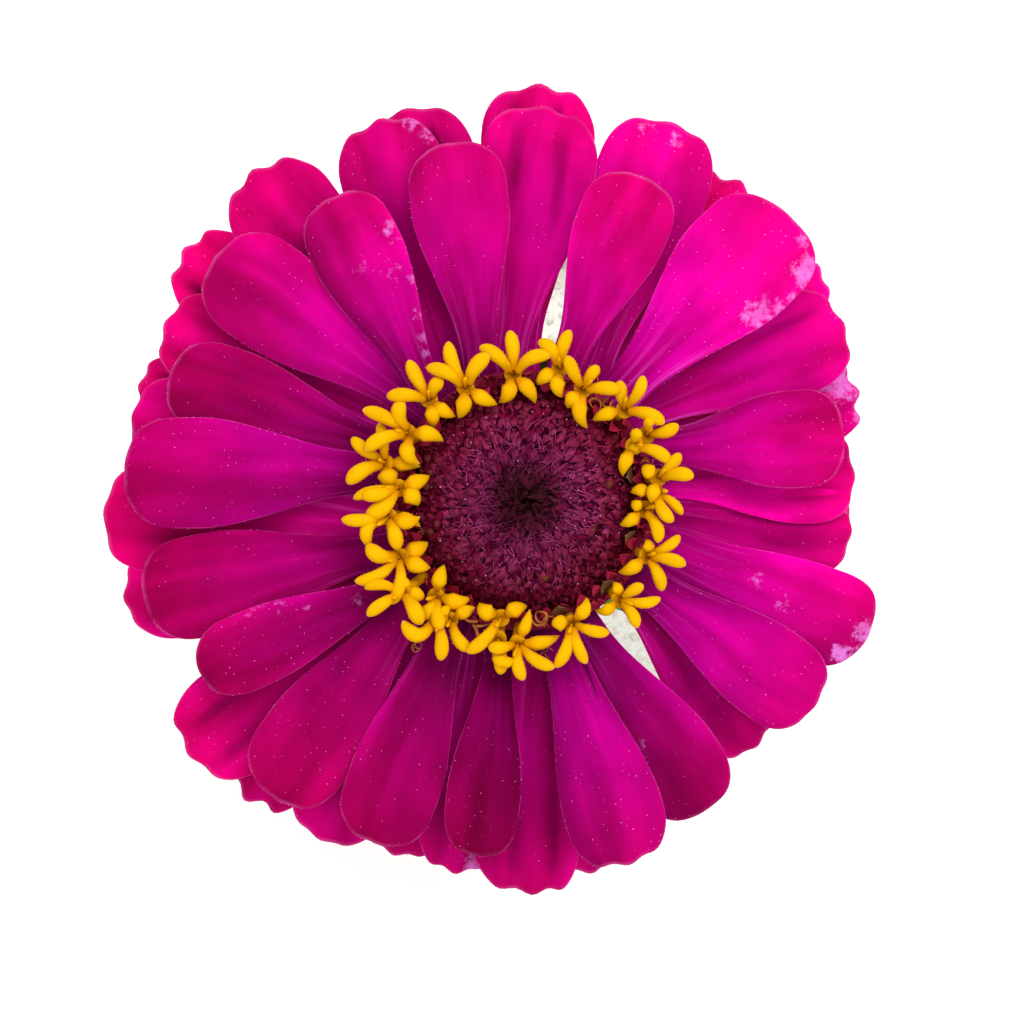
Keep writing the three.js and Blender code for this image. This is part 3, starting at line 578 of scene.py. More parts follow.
def scale_finish():
    """The scales: nearly black in the middle of the disc, purple round it and red brown outside. Towards the
    brim they are painted light against the shade of the florets and buds, and each scale has painted shade at
    its root and a painted highlight at its tip.
    """
    finish = Finish("scale maroon", 0.65, 0.06)
    zone = finish.times(finish.from_axis(), 1 / BRIM_RADIUS)
    # Towards the brim these stops are painted light, against the shade of the florets and buds
    outer = finish.ramp(
        zone, (0.08, 54, 10, 19), (0.2, 76, 7, 34), (0.32, 95, 3, 50), (0.6, 112, 4, 56),
        (0.78, 142, 16, 56), (1.0, 184, 44, 68),
    )
    # Painted shade at each scale's root and painted highlight at its tip
    base = finish.scale(outer, finish.span(finish.value("along"), 0.0, 1.0, 0.8, 1.12))
    speckle = finish.noise(450.0, 3.0)
    base = finish.scale(base, finish.span(speckle, 0.3, 0.7, 0.82, 1.18))
    finish.raise_by(speckle, 0.25, 0.1)
    return finish.done(base)


def bud_finish():
    finish = Finish("disc bud olive", 0.6, 0.06)
    base = finish.ramp(finish.value("along"), (0.0, 80, 8, 30), (0.5, 84, 22, 26), (1.0, 96, 50, 22))
    shade = finish.noise(160.0, 1.0)
    base = finish.blend(finish.span(shade, 0.4, 0.56, 0.2, 0.95), base, (98, 12, 44))
    finish.raise_by(finish.noise(1300.0, 3.0), 0.4, 0.1)
    return finish.done(base)


def fringe_finish():
    finish = Finish("fringe purple", 0.5, 0.15)
    zone = finish.times(finish.from_axis(), 1 / BRIM_RADIUS)
    tips = finish.ramp(
        zone, (0.12, 52, 10, 26), (0.26, 106, 28, 66), (0.42, 184, 62, 132), (0.6, 192, 66, 134),
        (0.85, 172, 50, 96),
    )
    roots = finish.ramp(zone, (0.1, 36, 7, 14), (0.36, 108, 8, 60), (0.85, 130, 20, 52))
    base = finish.blend(finish.span(finish.value("along"), 0.2, 0.85), roots, tips)
    speckle = finish.noise(330.0, 2.0)
    base = finish.blend(finish.span(speckle, 0.42, 0.7, 0.0, 0.5), base, finish.scale(tips, 0.6))
    finish.raise_by(speckle, 0.2, 0.1)
    return finish.done(base)


def pale_finish():
    """Thin olive tips of the scales round the disc."""
    finish = Finish("olive pale", 0.5, 0.1)
    base = finish.ramp(finish.value("along"), (0.0, 74, 10, 34), (0.45, 96, 48, 34), (1.0, 118, 96, 50))
    streak = finish.noise(900.0, 2.0)
    base = finish.blend(finish.span(streak, 0.45, 0.7, 0.0, 0.4), base, (92, 36, 38))
    finish.raise_by(streak, 0.3, 0.1)
    return finish.done(base)


def yellow_finish():
    finish = Finish("floret yellow", 0.6, 0.03)
    # Dark brown in the mouth and orange at the foot of the lobes: painted shade in the floret's hollow,
    # partly their own colour
    base = finish.ramp(
        finish.value("along"), (0.0, 84, 40, 8), (0.12, 152, 88, 2), (0.26, 196, 130, 0),
        (0.45, 214, 160, 0), (0.93, 214, 160, 0), (1.0, 226, 166, 100),
    )
    blotch = finish.noise(420.0, 3.0)
    base = finish.blend(finish.span(blotch, 0.42, 0.75, 0.0, 0.5), base, (206, 138, 0))
    spots = finish.noise(260.0, 2.0)
    base = finish.blend(finish.span(spots, 0.68, 0.78, 0.0, 0.5), base, (190, 96, 0))
    # Painted shade: deeper amber on the sides of each lobe
    base = finish.blend(finish.times(finish.value("edge"), 0.6), base, (200, 126, 0))
    finish.raise_by(finish.noise(2400.0, 3.0), 0.3, 0.1)
    return finish.done(base)


def dry_finish():
    finish = Finish("withered tan", 0.7, 0.1)
    speckle = finish.noise(900.0, 3.0)
    base = finish.ramp(speckle, (0.3, 112, 50, 22), (0.7, 178, 110, 48))
    finish.raise_by(speckle, 0.5, 0.1)
    return finish.done(base)


def leaf_finish():
    finish = Finish("leaf green", 0.55, 0.25)
    patches = finish.noise(70.0, 4.0)
    base = finish.ramp(patches, (0.25, 44, 92, 28), (0.5, 62, 116, 36), (0.8, 88, 138, 48))
    base = finish.blend(finish.times(finish.value("nerve"), 0.6), base, (142, 172, 92))
    base = finish.blend(finish.times(finish.value("rim"), 0.5), base, (120, 140, 70))
    base = finish.blend(finish.times(finish.value("under"), 0.55), base, (140, 166, 112))
    grain = finish.noise(1500.0, 4.0)
    base = finish.blend(finish.span(grain, 0.5, 0.8, 0.0, 0.35), base, (40, 84, 26))
    finish.raise_by(grain, 0.5, 0.2)
    return finish.done(base)


def stem_finish():
    finish = Finish("stem green", 0.5, 0.25)
    streaks = finish.noise(130.0, 3.0, finish.place((8.0, 8.0, 0.7)))
    base = finish.ramp(streaks, (0.3, 92, 122, 50), (0.7, 138, 160, 80))
    blush = finish.noise(55.0, 2.0)
    base = finish.blend(finish.span(blush, 0.5, 0.75, 0.0, 0.45), base, (128, 74, 60))
    finish.raise_by(streaks, 0.4, 0.2)
    return finish.done(base)


def bract_finish():
    finish = Finish("bract green", 0.55, 0.2)
    patches = finish.noise(300.0, 3.0)
    base = finish.ramp(patches, (0.3, 78, 118, 44), (0.7, 120, 156, 72))
    base = finish.blend(finish.span(finish.value("along"), 0.78, 0.98, 0.0, 0.85), base, (58, 36, 34))
    finish.raise_by(patches, 0.4, 0.2)
    return finish.done(base)


def clay_finish():
    finish = Finish("fired clay", 0.85, 0.15)
    broad = finish.noise(28.0, 5.0, rough=0.6)
    base = finish.ramp(broad, (0.25, 150, 82, 55), (0.5, 172, 98, 68), (0.8, 190, 122, 92))
    bloom = finish.noise(40.0, 6.0, rough=0.65)
    base = finish.blend(finish.span(bloom, 0.5, 0.78, 0.0, 0.6), base, (206, 180, 160))
    grit = finish.noise(1200.0, 3.0)
    base = finish.blend(finish.span(grit, 0.6, 0.8, 0.0, 0.5), base, (128, 62, 40))
    rings = finish.noise(60.0, 3.0, finish.place((0.15, 0.15, 6.0)))
    finish.raise_by(finish.calc("ADD", rings, finish.times(grit, 0.3)), 0.45, 0.4)
    return finish.done(base)


def compost_finish():
    """Dark compost, with pale sand on its top between the grit."""
    finish = Finish("compost", 0.95, 0.05)
    clods = finish.noise(350.0, 6.0, rough=0.65)
    soil = finish.ramp(clods, (0.3, 34, 22, 15), (0.6, 66, 46, 32), (0.85, 98, 72, 50))
    sand = finish.ramp(finish.noise(1400.0, 3.0), (0.3, 240, 237, 230), (0.7, 252, 251, 248))
    height = finish.add("ShaderNodeSeparateXYZ", {0: finish.place()}).outputs["Z"]
    on_top = finish.span(height, (COMPOST_LEVEL - 4) * MM, (COMPOST_LEVEL - 2) * MM)
    finish.raise_by(clods, 0.3, 0.5)
    return finish.done(finish.blend(on_top, soil, sand))


def grit_finish():
    finish = Finish("pale grit", 0.8, 0.2)
    shade = finish.ramp(
        finish.value("shade"), (0.0, 236, 232, 224), (0.5, 247, 245, 240), (1.0, 253, 252, 250),
    )
    vein = finish.noise(700.0, 4.0)
    base = finish.blend(finish.span(vein, 0.55, 0.8, 0.0, 0.3), shade, (214, 204, 190))
    finish.raise_by(vein, 0.4, 0.3)
    return finish.done(base)


# Strewing: copies of a small shape on a surface, by nodes

def strewing_tree():
    """The surface's own values steer it: `density` thins the copies and `aim` is where they point.
    Each copy's x side turns up as far as it can, and then the copy tilts and spins a little."""
    tree = bpy.data.node_groups.new("strew", "GeometryNodeTree")
    for name, kind in [
        ("Surface", "Geometry"), ("Shape", "Object"), ("Spacing", "Float"), ("Most", "Float"),
        ("Smallest", "Float"), ("Largest", "Float"), ("Tilt", "Float"), ("Spin", "Float"),
        ("Seed", "Int"), ("Finish", "Material"),
    ]:
        tree.interface.new_socket(name, in_out="INPUT", socket_type="NodeSocket" + kind)
    tree.interface.new_socket("Pieces", in_out="OUTPUT", socket_type="NodeSocketGeometry")

    def add(kind, result, inputs=None, **settings):
        return add_node(tree, kind, inputs, **settings).outputs[result]

    given = add_node(tree, "NodeGroupInput").outputs
    seed = given["Seed"]
    density = add("GeometryNodeInputNamedAttribute", "Attribute", {"Name": "density"}, data_type="FLOAT")
    aim = add("GeometryNodeInputNamedAttribute", "Attribute", {"Name": "aim"}, data_type="FLOAT_VECTOR")
    points = add("GeometryNodeDistributePointsOnFaces", "Points", {
        "Mesh": given["Surface"], "Distance Min": given["Spacing"], "Density Max": given["Most"],
        "Density Factor": density, "Seed": seed,
    }, distribute_method="POISSON")
    aimed = add("FunctionNodeAlignRotationToVector", "Rotation", {"Vector": aim}, axis="Z")
    faced = add("FunctionNodeAlignRotationToVector", "Rotation",
                {"Rotation": aimed, "Vector": (0, 0, 1)}, axis="X", pivot_axis="Z")
    most = add("ShaderNodeCombineXYZ", 0, {0: given["Tilt"], 1: given["Tilt"], 2: given["Spin"]})
    least = add("ShaderNodeVectorMath", 0, {0: most, "Scale": -1.0}, operation="SCALE")
    tilt = add("FunctionNodeRandomValue", "Value",
               {"Min": least, "Max": most, "Seed": seed}, data_type="FLOAT_VECTOR")
    turned = add("FunctionNodeRotateRotation", "Rotation",
                 {"Rotation": faced, "Rotate By": tilt}, rotation_space="LOCAL")
    size = add("FunctionNodeRandomValue", 1,
               {2: given["Smallest"], 3: given["Largest"], "Seed": seed}, data_type="FLOAT")
    shape = add("GeometryNodeObjectInfo", "Geometry", {"Object": given["Shape"]},
                transform_space="ORIGINAL")
    copies = add("GeometryNodeInstanceOnPoints", "Instances",
                 {"Points": points, "Instance": shape, "Rotation": turned, "Scale": size})
    shade = add("FunctionNodeRandomValue", 1, data_type="FLOAT")
    shaded = add("GeometryNodeStoreNamedAttribute", "Geometry",
                 {"Name": "shade", "Geometry": copies, "Value": shade}, data_type="FLOAT", domain="INSTANCE")
    real = add("GeometryNodeRealizeInstances", "Geometry", {"Geometry": shaded})
    coated = add("GeometryNodeSetMaterial", "Geometry", {"Geometry": real, "Material": given["Finish"]})
    add_node(tree, "NodeGroupOutput", {"Pieces": coated})
    return tree


def strew(name, surface, shape, material, spacing, sizes, tilt, seed, spin=180):
    """Strews copies of `shape` over `surface` and gives them back as one plain mesh."""
    modifier = surface.modifiers.new("strew", "NODES")
    modifier.node_group = STREW
    given = {
        "Shape": shape, "Spacing": spacing * MM, "Most": 1e9, "Smallest": sizes[0],
        "Largest": sizes[1], "Tilt": math.radians(tilt), "Spin": math.radians(spin),
        "Seed": seed, "Finish": material,
    }
    for item in STREW.interface.items_tree:
        if item.name in given:
            modifier[item.identifier] = given[item.name]
    graph = bpy.context.evaluated_depsgraph_get()
    mesh = bpy.data.meshes.new_from_object(surface.evaluated_get(graph), depsgraph=graph)
    surface.modifiers.remove(modifier)
    mesh.name = name
    mesh.shade_smooth()
    return show(bpy.data.objects.new(name, mesh))


def steer(mesh, density, aim):
    """Gives each point of a mesh how thickly copies stand there and where they point."""
    count = len(mesh.vertices)
    spread = np.broadcast_to(np.asarray(density, float).reshape(-1), (count,))
    mesh.attributes.new("density", "FLOAT", "POINT").data.foreach_set("value", spread.astype(np.float32))
    aims = np.broadcast_to(np.asarray(aim, float).reshape(-1, 3), (count, 3))
    flat = np.ascontiguousarray(aims, dtype=np.float32).reshape(-1)
    mesh.attributes.new("aim", "FLOAT_VECTOR", "POINT").data.foreach_set("vector", flat)


def host(name, points, faces, density, aim):
    """A hidden surface to strew over."""
    mesh = bpy.data.meshes.new(name)
    points = np.asarray(points, float).reshape(-1, 3)
    mesh.from_pydata((points * MM).tolist(), [], faces)
    steer(mesh, density, aim)
    return show(bpy.data.objects.new(name, mesh))


def strew_on(piece, name, shape, material, keys, weight, slot, **how):
    """Strews over a finished piece, as thickly as `weight` makes of the values that `keys` name."""
    mesh = piece.data
    count = len(mesh.vertices)
    own = {}
    for key in keys:
        own[key] = np.zeros(count, np.float32)
        mesh.attributes[key].data.foreach_get("value", own[key])
    steer(mesh, weight(own), (0, 0, 1))
    settle(strew(name, piece, shape, material, **how), slot)
    mesh.attributes.remove(mesh.attributes["density"])
    mesh.attributes.remove(mesh.attributes["aim"])


def drop(*objects):
    for obj in objects:
        mesh = obj.data
        bpy.data.objects.remove(obj)
        bpy.data.meshes.remove(mesh)


def hair_shape(length, radius, lean):
    shell = Shell()
    path = [[0, 0, -0.1 * length], [lean * 0.3 * length, 0, 0.5 * length], [lean * length, 0, length]]
    radii = [[radius], [radius * 0.7], [radius * 0.15]]
    points, faces, along = sweep(path, radii, radii, 3, up=(0, 1, 0))
    shell.add(points, faces, along=along)
    return shell.build("hair shape", HAIR)


def pebble_shape(name, material, draw, flat=0.7, rings=5, sides=8):
    shell = Shell()
    steps = [math.pi * i / rings for i in range(rings + 1)]
    points, faces = lathe([(math.sin(step), -math.cos(step)) for step in steps], sides)
    bumps = np.array([draw.uniform(0.82, 1.12) for _ in range(len(points))])
    points = points * bumps[:, None] * np.array([1.0, draw.uniform(0.7, 0.95), flat])
    shell.add(points, faces)
    return shell.build(name, material)


# Rays

def ray_half_width(width, s, claw, belly):
    return (width / 2) * (claw + (1 - claw) * smooth((s - 0.14) / (belly - 0.14)))


def ray_end(v, notch, length):
    power = RAY["tip_round"]
    rounded = (1 - np.abs(v) ** power) ** (1 / power)
    notches = (notch / length) * np.sin(1.5 * np.pi * v) ** 2 * (1 - v * v)
    return 1 - RAY["tip_share"] * (1 - rounded) - notches


def add_ray(shell, whorl_name, index, ray):
    azimuth, reach, width, sweep_by, lift, cup, notch, tone, blush = ray
    uneven = UNEVEN.get((whorl_name, index), {})
    whorl = WHORLS[whorl_name]
    outer = whorl["order"]
    draw = random.Random(f"{whorl_name} ray {index}")
    root = around(azimuth + sweep_by, RAY["root"])
    tip = around(azimuth, reach)
    along = tip - root
    length = np.linalg.norm(along)
    along /= length
    across = np.array([-along[1], along[0], 0.0])
    sunk = (RAY["root"] - RAY["inner_root"]) / length
    u = np.concatenate([[-sunk, -sunk / 2], np.linspace(0, 0.985, 40), [0.9965, 1.0]])[:, None]
    v = crowded(33)
    end = ray_end(v, notch, length)
    end = end - 0.004 * ripple(draw, v, 0 * v, 1.3) * (1 + 1.8 * outer)
    s = np.where(u > 0, u * end, u)
    half = ray_half_width(width, s, uneven.get("claw", RAY["claw"]), uneven.get("belly", 0.74))
    lean = uneven.get("lean", 0) + draw.uniform(-0.03, 0.03)
    frill = 1 + (0.008 + 0.012 * outer) * ripple(draw, s, 0 * v, 3.6) * smooth(s * 3)
    sideways = v * half * (1 + lean * v) * frill
    sideways = sideways + uneven.get("bow", 0) * np.sin(np.pi * np.clip(s, 0, 1))
    climb = whorl["root"] + whorl["climb"] * s - whorl["droop"] * s * s
    climb = climb - uneven.get("sunk", 0) * smooth(s * 5) * (1 - smooth((s - 0.5) / 0.3))
    edges = cup * v * v * smooth(s * 4) * (1 - 0.55 * smooth((s - 0.5) * 2))
    body = smooth(s * 3.5) * (1 - 0.6 * smooth((s - 0.8) / 0.2))
    grooves = bump_at(v, -0.34, 0.1) + bump_at(v, 0.34, 0.1) - 0.8 * bump_at(v, 0, 0.14)
    phase = draw.uniform(-1.2, 1.2)
    pleats = np.cos(2.6 * np.pi * v + phase + 0.8 * np.sin(4 * s + phase)) * smooth((s - 0.4) / 0.35)
    waves = ripple(draw, s, 0.4 * v, 1.3) * smooth(s * 2)
    height = (
        climb + lift * smooth(s * 1.6) + edges - (0.16 + 0.08 * outer) * grooves * body
        + (0.08 + 0.42 * outer) * pleats + (0.14 + 0.24 * outer) * waves
    )
    patchy = smooth(0.5 + 1.2 * ripple(draw, s, v, 0.9))
    # Painted shade in the troughs of the pleats, deeper on the middle and lower rays
    crease = (0.05 + 0.75 * outer) * smooth(-1.4 * pleats - 0.35) * patchy * (1 - smooth((s - 0.86) / 0.12))
    full = RAY["thickness"] * (0.75 + 0.5 * (1 - smooth(s * 2.5)))
    edge = round_off(v, 9) * round_off(np.clip(u, 0, 1), 60)
    thick = full * edge / 2
    middle = root + along * (length * s)[..., None] + across * sideways[..., None]
    middle[..., 2] = height
    upper = middle + np.array([0, 0, 1.0]) * thick[..., None]
    under = middle - np.array([0, 0, 1.0]) * thick[..., None]
    points, faces = lens(upper, under)
    side_rim = np.where(np.abs(v) > 0.999, 1.0, np.where(np.abs(v) > 0.985, 0.4, 0.0))
    tip_rim = np.where(u > 0.999, 1.0, np.where(u > 0.99, 0.4, 0.0))
    bleach = 0 * s - 1.0
    for at, over, radius, full_by in PALE_PATCHES.get((whorl_name, index), []):
        gap = np.hypot((s - at) * length, sideways - over * half) / radius
        bleach = np.maximum(bleach, full_by * (1 - gap**2) - 0.6 * gap**2)
    ones = np.ones_like(s)
    # Painted light and shade on the middle and lower rays: lighter tips, slightly lighter claws, and claws
    # turned redder, the hue they have in the shade of the rays above
    shaded = min(1, 2 * outer)
    right, left = uneven.get("sides", (1.0, 1.0))
    shades_and_tones = tone * (1 + shaded * (0.35 * smooth((s - 0.74) / 0.2) + 0.15 * (1 - smooth((s - 0.2) / 0.3))))
    # Painted light and shade across the ray: one side lighter and the other darker
    shades_and_tones = shades_and_tones * np.where(v < 0, lerp(1.0, right, -v), lerp(1.0, left, v)) * (1 + 0 * s)
    blushes = blush + shaded * (1 - blush) * 0.8 * (1 - smooth((s - 0.3) / 0.4))
    shell.add(
        points, faces,
        along=lens_values(np.clip(s, 0, 1)), across=lens_values(v * ones),
        rim=lens_values(np.maximum(side_rim * ones, tip_rim * ones)),
        bleach=lens_values(bleach, -ones), crease=lens_values(crease),
        tone=lens_values(shades_and_tones), blush=lens_values(blushes),
        draw=draw.uniform(0, 50), under=lens_values(0 * ones, ones),
    )


def make_rays(finish):
    pieces = []
    for whorl_name, rays in RAYS.items():
        shell = Shell()
        for index, ray in enumerate(rays):
            add_ray(shell, whorl_name, index, ray)
        if whorl_name == "lower":
            ring = [(8.6, -1.2), (13.4, -1.5), (14.0, -0.6), (13.4, 0.3), (8.6, 0.5), (8.6, -1.2)]
            points, faces = lathe(ring, 72)
            shell.add(points, faces, along=0.0, across=0.0, rim=0.0, bleach=-1.0, crease=0.0,
                      tone=0.5, blush=0.0, draw=0.0, under=1.0)
        petals = shell.build(f"ray_petals_{whorl_name}", finish, BLOOM_PLACE)
        pieces.append(settle(petals, "ray_magenta", "ray_florets"))
    return pieces


def make_specks(whorls):
    """Pale specks on the upper faces of the rays, and fine cilia along their rims."""
    speck = pebble_shape("speck shape", SPECK, random.Random(11), flat=0.6, rings=3, sides=5)
    hair = hair_shape(length=0.2, radius=0.035, lean=0.3)

    def patchy(own):
        often = 0.03 + 0.12 * (np.sin(own["draw"] * 9.1) > 0.3)
        groups = np.sin(own["along"] * 19 + own["draw"] * 7) * np.sin(own["across"] * 5 + own["draw"]) > 0.35
        return (own["under"] < 0.5) * np.clip(own["along"] * 2, 0, 1) * (often + 0.3 * groups)

    for i, petals in enumerate(whorls):
        strew_on(petals, f"petal_specks_{i + 1}", speck, SPECK, ("under", "along", "across", "draw"), patchy,
                 "ray_magenta", spacing=0.75, sizes=(0.02, 0.07), tilt=40, seed=5 + i)
        strew_on(petals, f"petal_cilia_{i + 1}", hair, CILIA, ("rim",), lambda own: own["rim"] > 0.9,
                 "ray_magenta", spacing=0.16, sizes=(0.5, 1.0), tilt=80, seed=15 + i)
    drop(speck, hair)


# Disc

def dome_height(out):
    share = np.clip(out / CONE["radius"], 0, 1)
    rise = (CONE["top"] - CONE["wall_top"]) * (1 - share**2) ** CONE["bulge"]
    return CONE["wall_top"] + rise - CONE["dimple"] * (1 - smooth(out / CONE["dimple_radius"]))


def dome_grid(inner, outer, rings, sides, sunk):
    out = np.linspace(inner, outer, rings)[:, None]
    turns = round_turns(sides)[None, :]
    height = dome_height(out) - sunk + 0 * turns
    points = np.stack([out * np.cos(turns), out * np.sin(turns), height], axis=-1)
    return points, tube_faces(rings, sides)


def dome_aim(points, inward, upright):
    """Where copies on the dome point: `inward` towards the axis and `upright` up, mixed."""
    flat = points[..., :2]
    out = np.maximum(np.linalg.norm(flat, axis=-1, keepdims=True), 0.3)
    aim = np.concatenate([-flat / out * inward, np.full(out.shape, 1.0) * upright], axis=-1)
    return aim / np.linalg.norm(aim, axis=-1, keepdims=True)


def make_dome(finish):
    """The dome under its cover, with the ring that the open florets stand in."""
    profile = [(0.0, CONE["bottom"]), (13.2, CONE["bottom"] + 0.6), (14.1, 1.6), (14.2, 3.0), (12.9, 3.3)]
    rings, sunk = 60, 0.7
    for i in range(rings):
        out = COVER_RADIUS * (1 - i / rings)
        profile.append((out, dome_height(out) - sunk))
    profile.append((0.0, dome_height(0.0) - sunk))

    def pitted(radius, height, turns):
        knobs = 0.16 * np.sin(radius * 6.5) * np.sin(turns * 34) * smooth(radius / 3) * (height > 2)
        return radius + 0 * turns, height + knobs

    shell = Shell()
    points, faces = lathe(profile, 144, pitted)
    shell.add(points, faces)
    settle(shell.build("disc_dome", finish, BLOOM_PLACE), "disc_maroon", "disc_cone")


def add_flake(shell, length, width, outline, curl, cup, thick, fade):
    """A thin upright flake whose width follows `outline`. `fade` gives its values along it."""
    u = np.linspace(0, 1, 4)[:, None]
    v = np.array([-1.0, 0.0, 1.0])[None, :]
    half = width / 2 * np.array(outline)[:, None]
    x = curl * u**2 + cup * width * v * v
    points = np.stack([x + 0 * v, v * half, u * length + 0 * v], axis=-1)
    shift = np.array([thick / 2, 0.0, 0.0])
    corners, faces = lens(points + shift, points - shift)
    shell.add(corners, faces, along=lens_values(fade(u) + 0 * v))


def scale_shape():
    shell = Shell()
    add_flake(shell, length=3.0, width=2.4, outline=(0.6, 1.0, 0.85, 0.2), curl=0.36, cup=0.18,
              thick=0.12, fade=lambda u: u)
    return shell.build("scale shape", SCALE)


def add_strand(shell, start, end, bend, radius, first, last, steps=5):
    """A thin curled strand, whose values run from `first` to `last`."""
    chord = end - start
    side = np.array([0.0, chord[2], -chord[1]])
    t = np.linspace(0, 1, steps)[:, None]
    path = start + chord * t + side * bend * (t * (1 - t) * 2) + np.array([0.25, 0, 0]) * t * t
    radii = np.linspace(1.0, 0.35, steps)[:, None] * radius
    points, faces, along = sweep(path, radii * 1.2, radii * 0.8, 3, up=(1, 0.1, 0.3))
    shell.add(points, faces, along=lerp(first, last, along))
    return path


def fringe_shape(name, draw, length, thick, fan, blade, twigs):
    """A scale with a torn tip: a narrow blade, and two curled strands of which `twigs` fork."""
    shell = Shell()
    add_flake(shell, length=0.4 * length, width=blade, outline=(0.7, 1.0, 0.8, 0.25),
              curl=0.1 * length, cup=0.16, thick=0.1, fade=lambda u: 0.35 * u**2)
    for i, place in enumerate((-1, 1)):
        spread = fan * place + draw.uniform(-0.2, 0.2)
        reach = length * draw.uniform(0.6, 0.95)
        start = np.array([0.12, 0.3 * blade * place, 0.08 * length])
        end = start + np.array([draw.uniform(-0.1, 0.15), math.sin(spread), math.cos(spread)]) * reach
        path = add_strand(shell, start, end, draw.uniform(-0.3, 0.3), thick, 0.3, 1.0)
        if i < twigs:
            off = spread + draw.choice((-1, 1)) * draw.uniform(0.35, 0.8)
            reach *= draw.uniform(0.35, 0.6)
            side = path[2] + np.array([draw.uniform(0.0, 0.4), math.sin(off), math.cos(off)]) * reach
            add_strand(shell, path[2], side, draw.uniform(-0.3, 0.3), thick * 0.75, 0.7, 1.0, 4)
    return shell.build(name, FRINGE)


def bud_shape():
    shell = Shell()
    profile = [(0.0, -0.5), (0.4, -0.3), (0.5, 0.25), (0.38, 0.55), (0.0, 0.64)]
    points, faces = lathe(profile, 8, lambda r, z, t: (r * (1 + 0.08 * np.cos(4 * t)), z + 0 * t))
    shell.add(points, faces, along=np.clip((points[:, 2] + 0.5) / 1.2, 0, 1))
    return shell.build("bud shape", BUD_BROWN)


def make_disc_cover():
    """Scales, buds and fringes that cover the dome."""
    beds = {
        "dome": dome_grid(0.15, COVER_RADIUS, rings=40, sides=96, sunk=0.75),
        "brim": dome_grid(COVER_RADIUS, BRIM_RADIUS, rings=4, sides=96, sunk=-0.2),
    }

    def cover(name, shape, material, where, lean, lift, bed="dome", **how):
        """Copies as thick as `where` makes of the radius. They point inward and up by `lean`."""
        points, faces = beds[bed]
        out = np.linalg.norm(points[..., :2], axis=-1)
        raised = points.reshape(-1, 3) + np.array(BLOOM_PLACE) + np.array([0, 0, lift])
        surface = host(f"{name} bed", raised, faces, where(out), dome_aim(points, *lean))
        settle(strew(name, surface, shape, material, **how), "disc_maroon")
        drop(surface)

    def everywhere(r):
        return 1 + 0 * r

    scale = scale_shape()
    cover("disc_scales", scale, SCALE, everywhere, lean=(1.0, 0.32), lift=0.45,
          spacing=0.9, sizes=(0.7, 1.05), tilt=8, seed=1, spin=18)
    cover("disc_brim_scales", scale, SCALE, everywhere, lean=(0.5, 1.0), lift=-0.2, bed="brim",
          spacing=0.8, sizes=(0.35, 0.6), tilt=14, seed=2, spin=40)
    bud = bud_shape()
    cover("disc_buds", bud, BUD_BROWN, lambda r: smooth((r - 7.6) / 1.5) * 0.4, lean=(0.2, 1.0),
          lift=0.6, spacing=1.5, sizes=(0.6, 1.1), tilt=14, seed=3)
    # Painted glints: tiny pale specks on the disc that stand in for sparkles of light
    glint = pebble_shape("glint shape", GLINT, random.Random(12), flat=0.8, rings=3, sides=5)
    cover("disc_glints", glint, GLINT,
          lambda r: smooth((r - 3.5) / 1.5) * (1 - smooth((r - 9.5) / 2)) * 0.3,
          lean=(0.2, 1.0), lift=1.9, spacing=1.2, sizes=(0.03, 0.08), tilt=40, seed=6)
    drop(scale, bud, glint)
    for i in range(4):
        draw = random.Random(20 + i)
        rake = fringe_shape("rake", draw, length=3.5, thick=0.065, fan=0.1, blade=0.6, twigs=1)
        cover(f"disc_rakes_{i + 1}", rake, FRINGE,
              lambda r: smooth((r - 2.6) / 1.2) * (1 - smooth((r - 5.6) / 1.8)),
              lean=(1.0, 0.12), lift=1.0, spacing=1.7, sizes=(0.65, 1.1), tilt=6, seed=50 + i, spin=8)
        antler = fringe_shape("antler", draw, length=3.6, thick=0.085, fan=0.2, blade=0.8, twigs=1 + i % 2)
        cover(f"disc_antlers_{i + 1}", antler, FRINGE,
              lambda r: smooth((r - 4.4) / 1.4) * (1 - 0.85 * smooth((r - 8.6) / 1.6)),
              lean=(1.0, 0.14), lift=1.05, spacing=2.1, sizes=(0.6, 1.1), tilt=8, seed=30 + i, spin=14)
        tuft = fringe_shape("tuft", draw, length=2.5, thick=0.055, fan=0.35, blade=1.0, twigs=1)
        cover(f"disc_tufts_{i + 1}", tuft, FRINGE, lambda r: smooth((r - 7.4) / 1.5) * 0.7,
              lean=(1.0, 0.4), lift=0.85, spacing=2.1, sizes=(0.6, 1.1), tilt=12, seed=40 + i, spin=25)
        drop(rake, antler, tuft)


def round_grids(out, thick, turn, level):
    """The outer and inner face of a blade that stands round the axis, `out` mm from it."""
    grids = []
    for radius in (out + thick, out - thick):
        grids.append(np.stack([radius * np.cos(turn), radius * np.sin(turn), level + 0 * turn], axis=-1))
    return grids


